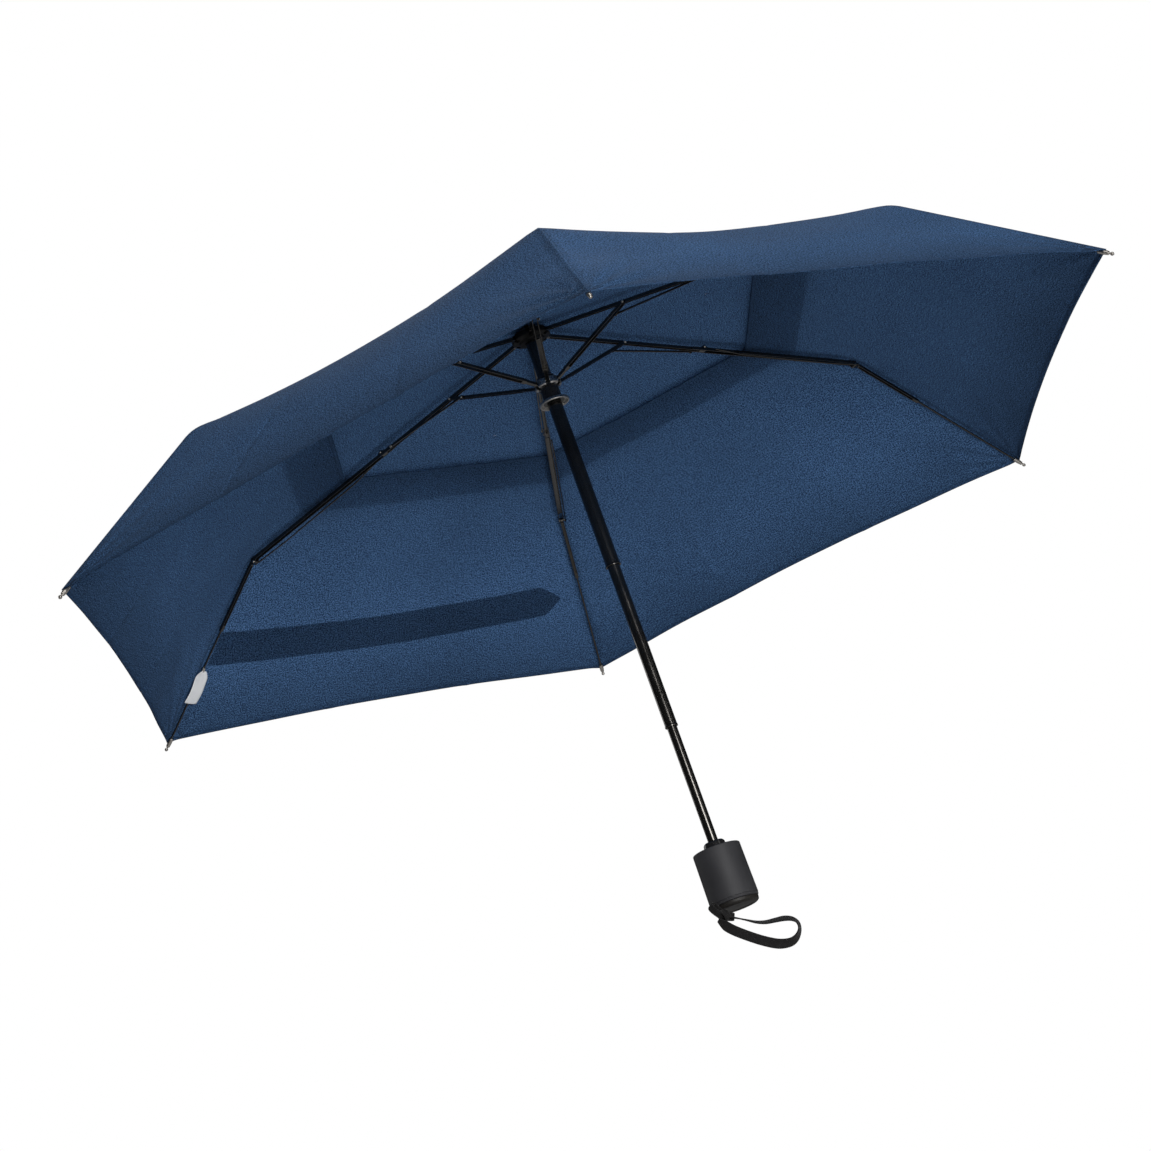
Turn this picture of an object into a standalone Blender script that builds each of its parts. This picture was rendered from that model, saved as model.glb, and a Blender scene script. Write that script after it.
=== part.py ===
"""A compact three-fold umbrella, open, upright on its handle.

+Z runs up the shaft from the origin at the handle's bottom centre. Rib 1 points along -Y and the others follow
counter-clockwise, 60 degrees apart. Each rib is built in its own plane: x outward, y across, z towards the cloth.
"""

import math

import bmesh
import bpy
from mathutils import Matrix, Vector

MM = 0.001
RIBS = 6
GAP = 0.3 * MM  # between neighbouring pieces

# Heights on the shaft.
NOTCH_Z = 520 * MM
RUNNER_Z = 473 * MM  # hinge level of the runner
HANDLE_TOP = 50 * MM
CAP_TOP = 4 * MM
LOWER_END = 157.2 * MM  # bottom of the middle tube
UPPER_END = 302.3 * MM  # bottom of the upper tube
TUBE_OVERLAP = 28 * MM

# Shaft tubes: (outer radius, wall).
UPPER_TUBE = (6.2 * MM, 0.7 * MM)
MIDDLE_TUBE = (5.2 * MM, 0.7 * MM)
LOWER_TUBE = (4.2 * MM, 0.8 * MM)

# Rib linkage.
NOTCH_HINGE_R = 15 * MM
NOTCH_HINGE_DROP = 2 * MM
RUNNER_HINGE_R = 10 * MM
RIB_SLOPE = math.radians(10)
OUTER_SLOPE = math.radians(39)
TOP_RIB = 159.4 * MM
MIDDLE_RIB = 161 * MM
OUTER_RIB = 192 * MM
STRUT_PIN = 77.5 * MM  # along the top rib
LINK_BACK = 13 * MM  # from the strut's outer pin back to the link's pin
JOINT_RISE = 2.3 * MM  # a rib joint's axis off the ribs' centre line
TAIL = (-12.05 * MM, -3 * MM)  # the link's pin on the middle rib, from its inner axis

# Rib sections: half widths, half depths and walls.
SLIM = 1.6 * MM
SLOT = 1.9 * MM
WIDE = 2.5 * MM
RIB_HALF_DEPTH = 1.5 * MM
STRUT_HALF_DEPTH = 1.3 * MM
WEB = 0.6 * MM
PIN = 0.75 * MM
PIN_HOLE = 1.05 * MM
HUB_PIN = 0.55 * MM
HUB_HOLE = 0.85 * MM
EAR = 1.7 * MM
FORK_EAR = 50 * MM  # where the strut's web ends
CHANNEL_END = 68 * MM  # of the outer rib's channel
WIRE = 0.9 * MM
LINK_SIDE = (3.1 * MM, 4.1 * MM)
DRIVE_SIDE = -3.6 * MM
DRIVE_WIRE = 0.7 * MM

# Cloth.
CLOTH = 0.6 * MM
CLOTH_RISE = 5 * MM  # canopy above the ribs' centre line
TIP_RISE = 3 * MM
COVER_RISE = 7.5 * MM
VENT_R = 215 * MM
COVER_R = 268 * MM
COVER_HOLE = 6 * MM
HEM_CURVE = 8 * MM
HEM_BACK = 5 * MM  # the canopy's corner, short of the rib's end
SOFT_BEND = (12 * MM, 100 * MM)  # half length of the bend at a rib and between ribs
TIE_PANEL = 4
TIE_AT = (0.395, 0.57)  # of the outer rib's length
TIE_RANGE = (0.06, 0.985)

COLOURS = {
    "navy_cloth": ((0.018, 0.045, 0.115), 0.8, 0.0),
    "black_steel": ((0.012, 0.012, 0.013), 0.28, 0.6),
    "bright_metal": ((0.62, 0.60, 0.56), 0.3, 1.0),
    "grip_rubber": ((0.028, 0.028, 0.030), 0.72, 0.0),
    "cap_plastic": ((0.045, 0.038, 0.036), 0.5, 0.0),
    "hub_plastic": ((0.05, 0.05, 0.052), 0.42, 0.0),
    "strap_webbing": ((0.010, 0.010, 0.011), 0.85, 0.0),
}


def clear_scene():
    for obj in list(bpy.data.objects):
        bpy.data.objects.remove(obj)


def material(name):
    found = bpy.data.materials.get(name)
    if found:
        return found
    colour, roughness, metallic = COLOURS[name]
    made = bpy.data.materials.new(name)
    made.use_nodes = True
    shader = made.node_tree.nodes["Principled BSDF"]
    shader.inputs["Base Color"].default_value = (*colour, 1)
    shader.inputs["Roughness"].default_value = roughness
    shader.inputs["Metallic"].default_value = metallic
    return made


# ---- meshes --------------------------------------------------------------------------------------


def mesh_of(points, faces, smooth=False):
    mesh = bpy.data.meshes.new("solid")
    mesh.from_pydata([tuple(p) for p in points], [], faces)
    work = bmesh.new()
    work.from_mesh(mesh)
    bmesh.ops.recalc_face_normals(work, faces=work.faces)
    work.to_mesh(mesh)
    work.free()
    for face in mesh.polygons:
        face.use_smooth = smooth
    return mesh


def arc(centre, radius, start, end, steps):
    """Points (x, z) on an arc, angles in degrees."""
    points = []
    for k in range(steps + 1):
        angle = math.radians(start + (end - start) * k / steps)
        points.append((centre[0] + radius * math.cos(angle), centre[1] + radius * math.sin(angle)))
    return points


def prism(outline, low, high):
    """The outline in x and z, extruded across from y low to y high."""
    n = len(outline)
    points = [(x, low, z) for x, z in outline] + [(x, high, z) for x, z in outline]
    faces = [tuple(range(n)), tuple(range(2 * n - 1, n - 1, -1))]
    for k in range(n):
        after = (k + 1) % n
        faces.append((k, after, n + after, n + k))
    return mesh_of(points, faces)


def box(x, y, z):
    return prism([(x[0], z[0]), (x[1], z[0]), (x[1], z[1]), (x[0], z[1])], *y)


def pin(at, radius, low, high, sides=10):
    """A round bar across the rib plane."""
    return prism(arc(at, radius, 0, 360 - 360 / sides, sides - 1), low, high)


def turned(profile, sides, smooth=True):
    """A closed (radius, z) profile turned about Z. Points on the axis become one point."""
    points, rings = [], []
    for radius, z in profile:
        if radius < 1e-9:
            rings.append([len(points)] * sides)
            points.append((0, 0, z))
            continue
        rings.append(list(range(len(points), len(points) + sides)))
        for k in range(sides):
            angle = math.tau * k / sides
            points.append((radius * math.cos(angle), radius * math.sin(angle), z))
    faces = []
    for ring, after in zip(rings, rings[1:] + rings[:1]):
        for k in range(sides):
            corner = [ring[k], ring[(k + 1) % sides], after[(k + 1) % sides], after[k]]
            corner = list(dict.fromkeys(corner))
            if len(corner) > 2:
                faces.append(tuple(corner))
    return mesh_of(points, faces, smooth)


def combined(base, steps):
    """The base mesh with each (operation, mesh) applied by an exact Boolean."""
    body = bpy.data.objects.new("body", base)
    bpy.context.scene.collection.objects.link(body)
    tools = []
    for operation, mesh in steps:
        tool = bpy.data.objects.new("tool", mesh)
        bpy.context.scene.collection.objects.link(tool)
        tools.append(tool)
        step = body.modifiers.new("step", "BOOLEAN")
        step.operation = operation
        step.solver = "EXACT"
        step.object = tool
    bpy.context.view_layer.update()
    graph = bpy.context.evaluated_depsgraph_get()
    result = bpy.data.meshes.new_from_object(body.evaluated_get(graph))
    for obj in [body, *tools]:
        bpy.data.objects.remove(obj)
    return result


def swept(route, section, ups):
    """The closed section (across, up) carried along the route, with flat ends."""
    n = len(section)
    points = []
    for k, place in enumerate(route):
        ahead = route[min(k + 1, len(route) - 1)] - route[max(k - 1, 0)]
        ahead.normalize()
        up = ups[k] - ahead * ups[k].dot(ahead)
        up.normalize()
        across = ahead.cross(up)
        points += [place + across * a + up * b for a, b in section]
    faces = [tuple(range(n)), tuple(range(len(points) - 1, len(points) - n - 1, -1))]
    for k in range(len(route) - 1):
        for j in range(n):
            after = (j + 1) % n
            faces.append((k * n + j, (k + 1) * n + j, (k + 1) * n + after, k * n + after))
    return mesh_of(points, faces)


def round_section(radius, sides=8):
    return arc((0, 0), radius, 0, 360 - 360 / sides, sides - 1)


def place(name, mesh, finish, matrix=None):
    obj = bpy.data.objects.new(name, mesh)
    bpy.context.scene.collection.objects.link(obj)
    if not mesh.materials:
        mesh.materials.append(material(finish))
    obj.matrix_world = matrix or Matrix.Identity(4)
    return obj


# ---- shaft ---------------------------------------------------------------------------------------


def tube(name, size, bottom, top):
    outer, wall = size
    profile = [(outer, 0), (outer, top - bottom), (outer - wall, top - bottom), (outer - wall, 0)]
    return place(name, turned(profile, 28), "black_steel", Matrix.Translation((0, 0, bottom)))


def shaft():
    tube("lower_tube", LOWER_TUBE, CAP_TOP + 2 * MM, LOWER_END + TUBE_OVERLAP)
    tube("middle_tube", MIDDLE_TUBE, LOWER_END, UPPER_END + TUBE_OVERLAP)
    tube("upper_tube", UPPER_TUBE, UPPER_END, NOTCH_Z + 0.5 * MM)


def handle():
    bore = LOWER_TUBE[0] + GAP
    grip = [
        (bore, CAP_TOP + GAP),
        (19.6 * MM, CAP_TOP + GAP),
        (20.4 * MM, 7 * MM),
        (20.1 * MM, 26 * MM),
        (19.8 * MM, 46 * MM),
        (18.6 * MM, 49.2 * MM),
        (16.5 * MM, HANDLE_TOP),
        (9.4 * MM, HANDLE_TOP),
        (8.8 * MM, 55 * MM),
        (7.6 * MM, 56.4 * MM),
        (bore, 56.4 * MM),
    ]
    place("handle_grip", turned(grip, 32), "grip_rubber")
    cap = [(0, 0), (17 * MM, 0), (18.9 * MM, 0.9 * MM), (19.4 * MM, CAP_TOP), (0, CAP_TOP)]
    place("handle_cap", turned(cap, 32), "cap_plastic")


def rolled(points, rolls):
    """Which way a band's flat side faces at each point: across +Y, then turned about the band by each roll."""
    sides = []
    for k, roll in enumerate(rolls):
        ahead = (points[min(k + 1, len(points) - 1)] - points[max(k - 1, 0)]).normalized()
        out = ahead.cross(Vector((0, 1, 0))).normalized()
        sides.append(Matrix.Rotation(math.radians(roll), 3, ahead) @ out)
    return sides


def wrist_strap():
    """A flat loop of webbing from the rim of the cap, out to one side and back, turning as it goes."""
    route = [
        (-16.0, -13.5, -3.0, 0),
        (-13.0, -15.5, -6.0, 0),
        (-8.0, -17.5, -8.8, 5),
        (-2.5, -18.5, -12.0, 10),
        (3.0, -19.5, -15.5, 15),
        (9.0, -20.5, -19.2, 22),
        (15.5, -21.0, -21.5, 28),
        (23.0, -21.5, -22.5, 33),
        (30.0, -22.0, -23.5, 38),
        (35.5, -23.0, -26.0, 34),
        (38.5, -25.0, -30.5, 25),
        (37.8, -28.0, -36.5, 18),
        (34.0, -30.5, -41.5, 30),
        (28.5, -31.5, -44.0, 48),
        (22.0, -31.5, -43.5, 65),
        (15.5, -31.0, -41.0, 78),
        (6.5, -29.0, -35.0, 85),
        (-2.5, -26.0, -27.5, 85),
        (-11.0, -23.0, -19.5, 78),
        (-16.0, -20.0, -13.0, 66),
        (-19.0, -17.5, -7.5, 55),
    ]
    points = [Vector(p[:3]) * MM for p in route]
    band = [(-4 * MM, -0.6 * MM), (4 * MM, -0.6 * MM), (4 * MM, 0.6 * MM), (-4 * MM, 0.6 * MM)]
    place("wrist_strap", swept(points, band, rolled(points, [p[3] for p in route])), "strap_webbing")


def hub(profile, hinge, slot_from, slot_low=-30 * MM):
    """A turned hub with a slot and a pin across it for each rib."""
    steps = []
    for k in range(RIBS):
        spin = Matrix.Rotation(rib_angle(k), 4, "Z")
        slot = box((slot_from, 40 * MM), (-2 * MM, 2 * MM), (slot_low, 30 * MM))
        slot.transform(spin)
        steps.append(("DIFFERENCE", slot))
    for k in range(RIBS):
        spin = Matrix.Rotation(rib_angle(k), 4, "Z")
        bar = pin(hinge, HUB_PIN, -2.4 * MM, 2.4 * MM, 8)
        bar.transform(spin)
        steps.append(("UNION", bar))
    return combined(turned(profile, 36), steps)


def notch():
    bore = UPPER_TUBE[0] + GAP
    profile = [
        (bore, -7 * MM),
        (10.5 * MM, -7 * MM),
        (11.5 * MM, -5.5 * MM),
        (16.2 * MM, -4.4 * MM),
        (16.9 * MM, -3.6 * MM),
        (16.9 * MM, 0.2 * MM),
        (16 * MM, 1.2 * MM),
        (12 * MM, 2.2 * MM),
        (9 * MM, 4 * MM),
        (0, 4 * MM),
        (0, 1 * MM),
        (bore, 1 * MM),
    ]
    mesh = hub(profile, (NOTCH_HINGE_R, -NOTCH_HINGE_DROP), NOTCH_HINGE_R - 2.4 * MM)
    place("top_notch", mesh, "hub_plastic", Matrix.Translation((0, 0, NOTCH_Z)))


def runner():
    """A sleeve with a slotted collar for the struts and a dished ring at its lower end to push it by."""
    bore = UPPER_TUBE[0] + GAP
    profile = [
        (bore, -17.4 * MM),
        (11.4 * MM, -17.4 * MM),
        (11.9 * MM, -19.2 * MM),
        (12.8 * MM, -19.3 * MM),
        (13.2 * MM, -18.6 * MM),
        (12.8 * MM, -16.6 * MM),
        (8 * MM, -15.2 * MM),
        (8 * MM, -5 * MM),
        (11 * MM, -3.8 * MM),
        (11.6 * MM, -2.8 * MM),
        (11.6 * MM, 2 * MM),
        (11 * MM, 2.8 * MM),
        (8.2 * MM, 3.2 * MM),
        (8 * MM, 6 * MM),
        (bore, 6 * MM),
    ]
    mesh = hub(profile, (RUNNER_HINGE_R, 0), RUNNER_HINGE_R - 1.8 * MM, -6 * MM)
    place("runner", mesh, "hub_plastic", Matrix.Translation((0, 0, RUNNER_Z)))


def ferrule():
    profile = [
        (0, 4.3 * MM),
        (3 * MM, 4.3 * MM),
        (3 * MM, 9.6 * MM),
        (11.5 * MM, 8.6 * MM),
        (12.4 * MM, 9.4 * MM),
        (9 * MM, 12.4 * MM),
        (5.6 * MM, 14 * MM),
        (5 * MM, 21 * MM),
        (3.4 * MM, 23.4 * MM),
        (0, 24 * MM),
    ]
    place("ferrule", turned(profile, 24), "hub_plastic", Matrix.Translation((0, 0, NOTCH_Z)))


# ---- rib linkage, each piece in its rib's plane --------------------------------------------------


def rib_angle(k):
    return math.radians(-90 + 360 / RIBS * k)


def along(start, slope, x, z=0.0):
    """A point of the rib plane, x along a line that falls at slope and z square to it."""
    return (
        start[0] + x * math.cos(slope) + z * math.sin(slope),
        start[1] - x * math.sin(slope) + z * math.cos(slope),
    )


NOTCH_HINGE = (NOTCH_HINGE_R, NOTCH_Z - NOTCH_HINGE_DROP)
RUNNER_HINGE = (RUNNER_HINGE_R, RUNNER_Z)
STRUT_END = along(NOTCH_HINGE, RIB_SLOPE, STRUT_PIN)
MIDDLE_AXIS = along(NOTCH_HINGE, RIB_SLOPE, TOP_RIB, JOINT_RISE)
OUTER_AXIS = along(MIDDLE_AXIS, RIB_SLOPE, MIDDLE_RIB, -2 * JOINT_RISE)
STRUT = math.dist(RUNNER_HINGE, STRUT_END)
STRUT_SLOPE = -math.atan2(STRUT_END[1] - RUNNER_HINGE[1], STRUT_END[0] - RUNNER_HINGE[0])
LINK_START = along(RUNNER_HINGE, STRUT_SLOPE, STRUT - LINK_BACK)
LINK_END = along(MIDDLE_AXIS, RIB_SLOPE, *TAIL)
LINK = math.dist(LINK_START, LINK_END)
LINK_SLOPE = -math.atan2(LINK_END[1] - LINK_START[1], LINK_END[0] - LINK_START[0])


def top_rib_mesh():
    depth, rise = RIB_HALF_DEPTH, JOINT_RISE
    outline = arc((0, 0), depth, 270, 90, 6)
    outline += [(TOP_RIB - 4.5 * MM, depth)]
    outline += arc((TOP_RIB, rise), EAR, 135, 0, 5)
    outline += [(TOP_RIB + EAR, -0.4 * MM), (TOP_RIB + 0.6 * MM, -depth)]
    hollow = ((4 * MM, TOP_RIB - 5 * MM), (-1.05 * MM, 1.05 * MM), (-9 * MM, depth - WEB))
    return combined(
        prism(outline, -SLIM, SLIM),
        [
            ("DIFFERENCE", box(*hollow)),
            ("DIFFERENCE", pin((0, 0), HUB_HOLE, -WIDE, WIDE)),
            ("DIFFERENCE", pin((TOP_RIB, rise), PIN_HOLE, -WIDE, WIDE)),
        ],
    )


def strut_mesh():
    depth = STRUT_HALF_DEPTH
    slim = arc((0, 0), depth, 270, 90, 6) + [(13 * MM, depth), (13 * MM, -depth)]
    wide = [(11 * MM, -depth), *arc((STRUT, 0), depth, -90, 90, 6), (11 * MM, depth)]
    through = (-9 * MM, 9 * MM)
    return combined(
        prism(wide, -WIDE, WIDE),
        [
            ("UNION", prism(slim, -SLIM, SLIM)),
            ("DIFFERENCE", box((FORK_EAR, 2 * STRUT), (-SLOT, SLOT), through)),
            ("DIFFERENCE", box((15 * MM, FORK_EAR + MM), (-SLOT, SLOT), (-9 * MM, depth - WEB))),
            ("DIFFERENCE", pin((0, 0), HUB_HOLE, -WIDE, WIDE)),
            ("UNION", pin((STRUT, 0), PIN, -WIDE - GAP, -SLOT - 0.2 * MM, 8)),
            ("UNION", pin((STRUT, 0), PIN, SLOT + 0.2 * MM, WIDE + GAP, 8)),
            ("UNION", pin((STRUT - LINK_BACK, 0), PIN, SLOT + 0.2 * MM, LINK_SIDE[1] + GAP, 8)),
        ],
    )


def middle_rib_mesh():
    depth, centre = RIB_HALF_DEPTH, -JOINT_RISE
    top, bottom = centre + depth, centre - depth
    outer = (MIDDLE_RIB, -2 * JOINT_RISE)
    outline = arc((TAIL[0], centre), depth, 270, 90, 5)
    outline += [(-3.4 * MM, top)]
    outline += arc((0, 0), EAR, 150, 30, 5)
    outline += [(3.4 * MM, top), (MIDDLE_RIB + 1.2 * MM, top)]
    outline += arc(outer, EAR, 10, -150, 6)
    outline += [(MIDDLE_RIB - 4 * MM, bottom)]
    through = (-20 * MM, 20 * MM)
    web_start, web_end = 6 * MM, MIDDLE_RIB - 8 * MM
    hollow = (-20 * MM, top - WEB)
    return combined(
        prism(outline, -WIDE, WIDE),
        [
            ("DIFFERENCE", box((-30 * MM, web_start), (-SLOT, SLOT), through)),
            ("DIFFERENCE", box((web_end, MIDDLE_RIB + 30 * MM), (-SLOT, SLOT), through)),
            ("DIFFERENCE", box((web_start - MM, web_end + MM), (-SLOT, SLOT), hollow)),
            ("UNION", pin((0, 0), PIN, -WIDE - GAP, WIDE + GAP)),
            ("UNION", pin(outer, PIN, -WIDE - GAP, WIDE + GAP)),
        ],
    )


def outer_rib_mesh():
    depth, rise = STRUT_HALF_DEPTH, JOINT_RISE
    end = CHANNEL_END
    outline = arc((0, 0), EAR, 290, 160, 5)
    outline += [(-1.4 * MM, rise + 0.4 * MM), (0, rise + depth), (end, rise + depth)]
    outline += [(end + 3 * MM, rise + WIRE), (end + 3 * MM, rise - WIRE), (end, rise - depth)]
    outline += [(4 * MM, rise - depth)]
    wire = swept(
        [Vector((end + MM, 0, rise)), Vector((OUTER_RIB - 4.5 * MM, 0, rise))],
        round_section(WIRE),
        [Vector((0, 0, 1))] * 2,
    )
    hollow = ((5 * MM, end - 3 * MM), (-1.05 * MM, 1.05 * MM), (-9 * MM, rise + depth - WEB))
    return combined(
        prism(outline, -SLIM, SLIM),
        [
            ("DIFFERENCE", box(*hollow)),
            ("DIFFERENCE", pin((0, 0), PIN_HOLE, -WIDE, WIDE)),
            ("UNION", wire),
        ],
    )


def link_mesh():
    eye, bar = EAR, 0.8 * MM
    side = math.degrees(math.asin(bar / eye))
    outline = arc((0, 0), eye, side, 360 - side, 10)
    outline += arc((LINK, 0), eye, 180 + side, 540 - side, 10)
    hole = pin((0, 0), PIN_HOLE, 0, 9 * MM)
    return combined(prism(outline, *LINK_SIDE), [("DIFFERENCE", hole)])


def drive_wire_mesh():
    """The sprung wire beside the middle rib, from its inner rivet to the outer joint."""
    centre = -JOINT_RISE
    route = [
        (10 * MM, centre),
        (22 * MM, centre - 1.2 * MM),
        (38 * MM, centre - 3.2 * MM),
        (MIDDLE_RIB - 34 * MM, centre - 4.2 * MM),
        (MIDDLE_RIB - 14 * MM, centre - 3.6 * MM),
        (MIDDLE_RIB + 3 * MM, centre - 3 * MM),
    ]
    points = [Vector((x, DRIVE_SIDE, z)) for x, z in route]
    return swept(points, round_section(DRIVE_WIRE, 6), [Vector((0, 1, 0))] * len(points))


def rib_tip_mesh():
    """A metal cap with a small ball, turned about the wire's line."""
    bore = WIRE + GAP
    start, end = OUTER_RIB - 12 * MM, OUTER_RIB
    profile = [
        (bore, start),
        (1.9 * MM, start),
        (2 * MM, end - 7 * MM),
        (1.6 * MM, end - 3.4 * MM),
        (0.8 * MM, end - 2.8 * MM),
        (0.8 * MM, end - 2 * MM),
        (1.5 * MM, end - 1.2 * MM),
        (1.5 * MM, end),
        (0.7 * MM, end + 0.9 * MM),
        (0, end + MM),
        (0, end - 4.2 * MM),
        (bore, end - 4.2 * MM),
    ]
    mesh = turned(profile, 12)
    mesh.transform(Matrix.Translation((0, 0, JOINT_RISE)) @ Matrix.Rotation(math.pi / 2, 4, "Y"))
    return mesh


def rib_pieces():
    """Each kind of piece: (name, mesh, hinge in the rib plane, slope, finish)."""
    return [
        ("top_rib", top_rib_mesh(), NOTCH_HINGE, RIB_SLOPE, "black_steel"),
        ("strut", strut_mesh(), RUNNER_HINGE, STRUT_SLOPE, "black_steel"),
        ("link", link_mesh(), LINK_START, LINK_SLOPE, "black_steel"),
        ("middle_rib", middle_rib_mesh(), MIDDLE_AXIS, RIB_SLOPE, "black_steel"),
        ("drive_wire", drive_wire_mesh(), MIDDLE_AXIS, RIB_SLOPE, "black_steel"),
        ("outer_rib", outer_rib_mesh(), OUTER_AXIS, OUTER_SLOPE, "black_steel"),
        ("rib_tip", rib_tip_mesh(), OUTER_AXIS, OUTER_SLOPE, "bright_metal"),
    ]


def frame_of_ribs():
    pieces = rib_pieces()
    for k in range(RIBS):
        spin = Matrix.Rotation(rib_angle(k), 4, "Z")
        for name, mesh, hinge, slope, finish in pieces:
            stand = Matrix.Translation((hinge[0], 0, hinge[1])) @ Matrix.Rotation(slope, 4, "Y")
            place(f"{name}_{k + 1}", mesh, finish, spin @ stand)


# ---- cloth ---------------------------------------------------------------------------------------

BEND = along(MIDDLE_AXIS, RIB_SLOPE, MIDDLE_RIB, -JOINT_RISE)  # on the ribs' centre line
RIB_TO_BEND = math.dist(NOTCH_HINGE, BEND)
SEAM = RIB_TO_BEND + OUTER_RIB - HEM_BACK


def rib_line(s, rise, half_bend):
    """A point (r, z) of the cloth over a rib, s along the rib from its notch hinge.
    The corner at the bend is a parabola of that half length."""
    past = s - RIB_TO_BEND
    if past < -half_bend:
        return along(NOTCH_HINGE, RIB_SLOPE, s, rise)
    if past > half_bend:
        return along(BEND, OUTER_SLOPE, past, rise)
    share = (past + half_bend) / (2 * half_bend)
    start = Vector(along(BEND, RIB_SLOPE, -half_bend))
    end = Vector(along(BEND, OUTER_SLOPE, half_bend))
    before, after = start.lerp(Vector(BEND), share), Vector(BEND).lerp(end, share)
    slope = -math.atan2(after.y - before.y, after.x - before.x)
    return along(before.lerp(after, share), slope, 0, rise)


def cloth_point(panel, s, u, rise):
    """A point of the cloth between rib `panel` (u = 0) and the next one (u = 1)."""
    crown = 4 * u * (1 - u)
    half_bend = SOFT_BEND[0] + (SOFT_BEND[1] - SOFT_BEND[0]) * crown
    r, z = rib_line(s, rise, half_bend)
    first, second = rib_angle(panel - 1), rib_angle(panel)
    x = r * ((1 - u) * math.cos(first) + u * math.cos(second))
    y = r * ((1 - u) * math.sin(first) + u * math.sin(second))
    return Vector((x, y, z))


def rise_at(s):
    share = min(1.0, max(0.0, (s - RIB_TO_BEND) / OUTER_RIB))
    return CLOTH_RISE + (TIP_RISE - CLOTH_RISE) * share


def along_rib(r):
    return (r - NOTCH_HINGE_R) / math.cos(RIB_SLOPE)


def sheet_mesh(grid, closed_round=False):
    """A closed solid CLOTH thick about a grid of points, rows from the middle of the canopy outwards.
    Both faces are split along the same diagonals, so that the thin walls stay apart where the cloth warps."""
    rows, columns = len(grid), len(grid[0])
    normals = []
    for a in range(rows):
        for b in range(columns):
            before, after = (b - 1, b + 1) if closed_round else (max(b - 1, 0), min(b + 1, columns - 1))
            side = grid[a][after % columns] - grid[a][before % columns]
            down = grid[min(a + 1, rows - 1)][b] - grid[max(a - 1, 0)][b]
            normals.append(down.cross(side).normalized())
    flat = [p for row in grid for p in row]
    n = len(flat)
    points = [p + q * CLOTH / 2 for p, q in zip(flat, normals)]
    points += [p - q * CLOTH / 2 for p, q in zip(flat, normals)]
    faces = []
    last = columns if closed_round else columns - 1
    for a in range(rows - 1):
        for b in range(last):
            p, q = a * columns + b, a * columns + (b + 1) % columns
            for face in ((p, q, q + columns), (p, q + columns, p + columns)):
                faces.append(face)
                faces.append(tuple(n + k for k in reversed(face)))
    for b in range(last):
        after = (b + 1) % columns
        foot = (rows - 1) * columns
        faces.append((b, n + b, n + after, after))
        faces.append((foot + b, foot + after, n + foot + after, n + foot + b))
    if not closed_round:
        for a in range(rows - 1):
            for edge in (0, columns - 1):
                p, q = a * columns + edge, (a + 1) * columns + edge
                faces.append((p, q, n + q, n + p))
    return mesh_of(points, faces, True)


def stations(start, end, inner=4, outer=5):
    """Distances along the rib, closer together round the bend."""
    near, far = RIB_TO_BEND - 14 * MM, RIB_TO_BEND + 14 * MM
    before = [start + (near - start) * a / inner for a in range(inner + 1)]
    after = [far + (end - far) * a / outer for a in range(outer + 1)]
    return [*before, RIB_TO_BEND - 5 * MM, RIB_TO_BEND + 5 * MM, *after]


def canopy_panel(panel, columns=8):
    lines = []
    for b in range(columns + 1):
        u = b / columns
        end = SEAM - HEM_CURVE * 4 * u * (1 - u)
        line = []
        for s in stations(along_rib(VENT_R), end):
            edge = 0.5 * GAP / (s + NOTCH_HINGE_R)
            line.append(cloth_point(panel, s, edge + (1 - 2 * edge) * u, rise_at(s)))
        lines.append(line)
    grid = [list(row) for row in zip(*lines)]
    place(f"canopy_panel_{panel}", sheet_mesh(grid), "navy_cloth")


def vent_cover(rows=8, columns=4):
    grid = []
    for a in range(rows + 1):
        s = along_rib(COVER_HOLE + (COVER_R - COVER_HOLE) * a / rows)
        row = []
        for panel in range(1, RIBS + 1):
            row += [cloth_point(panel, s, b / columns, COVER_RISE) for b in range(columns)]
        grid.append(row)
    place("vent_cover", sheet_mesh(grid, True), "navy_cloth")


def tie_strap(rows=2, columns=12):
    """The closing strap, laid flat on the outside of one panel, with a pointed end."""
    low, high = (RIB_TO_BEND + OUTER_RIB * share for share in TIE_AT)
    grid = []
    for a in range(rows + 1):
        row = []
        for b in range(columns + 1):
            u = TIE_RANGE[0] + (TIE_RANGE[1] - TIE_RANGE[0]) * b / columns
            narrow = 0.15 if b == 0 else 1.0
            s = (low + high) / 2 + (high - low) * (a / rows - 0.5) * narrow
            row.append(cloth_point(TIE_PANEL, s, u, rise_at(s) + CLOTH + 2 * GAP))
        grid.append(row)
    place("tie_strap", sheet_mesh(grid), "navy_cloth")


def canopy():
    for panel in range(1, RIBS + 1):
        canopy_panel(panel)
    vent_cover()
    tie_strap()


clear_scene()
shaft()
handle()
wrist_strap()
notch()
runner()
ferrule()
frame_of_ribs()
canopy()
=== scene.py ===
import math

import bmesh
import bpy
import numpy as np
from mathutils import Matrix, Vector


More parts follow.
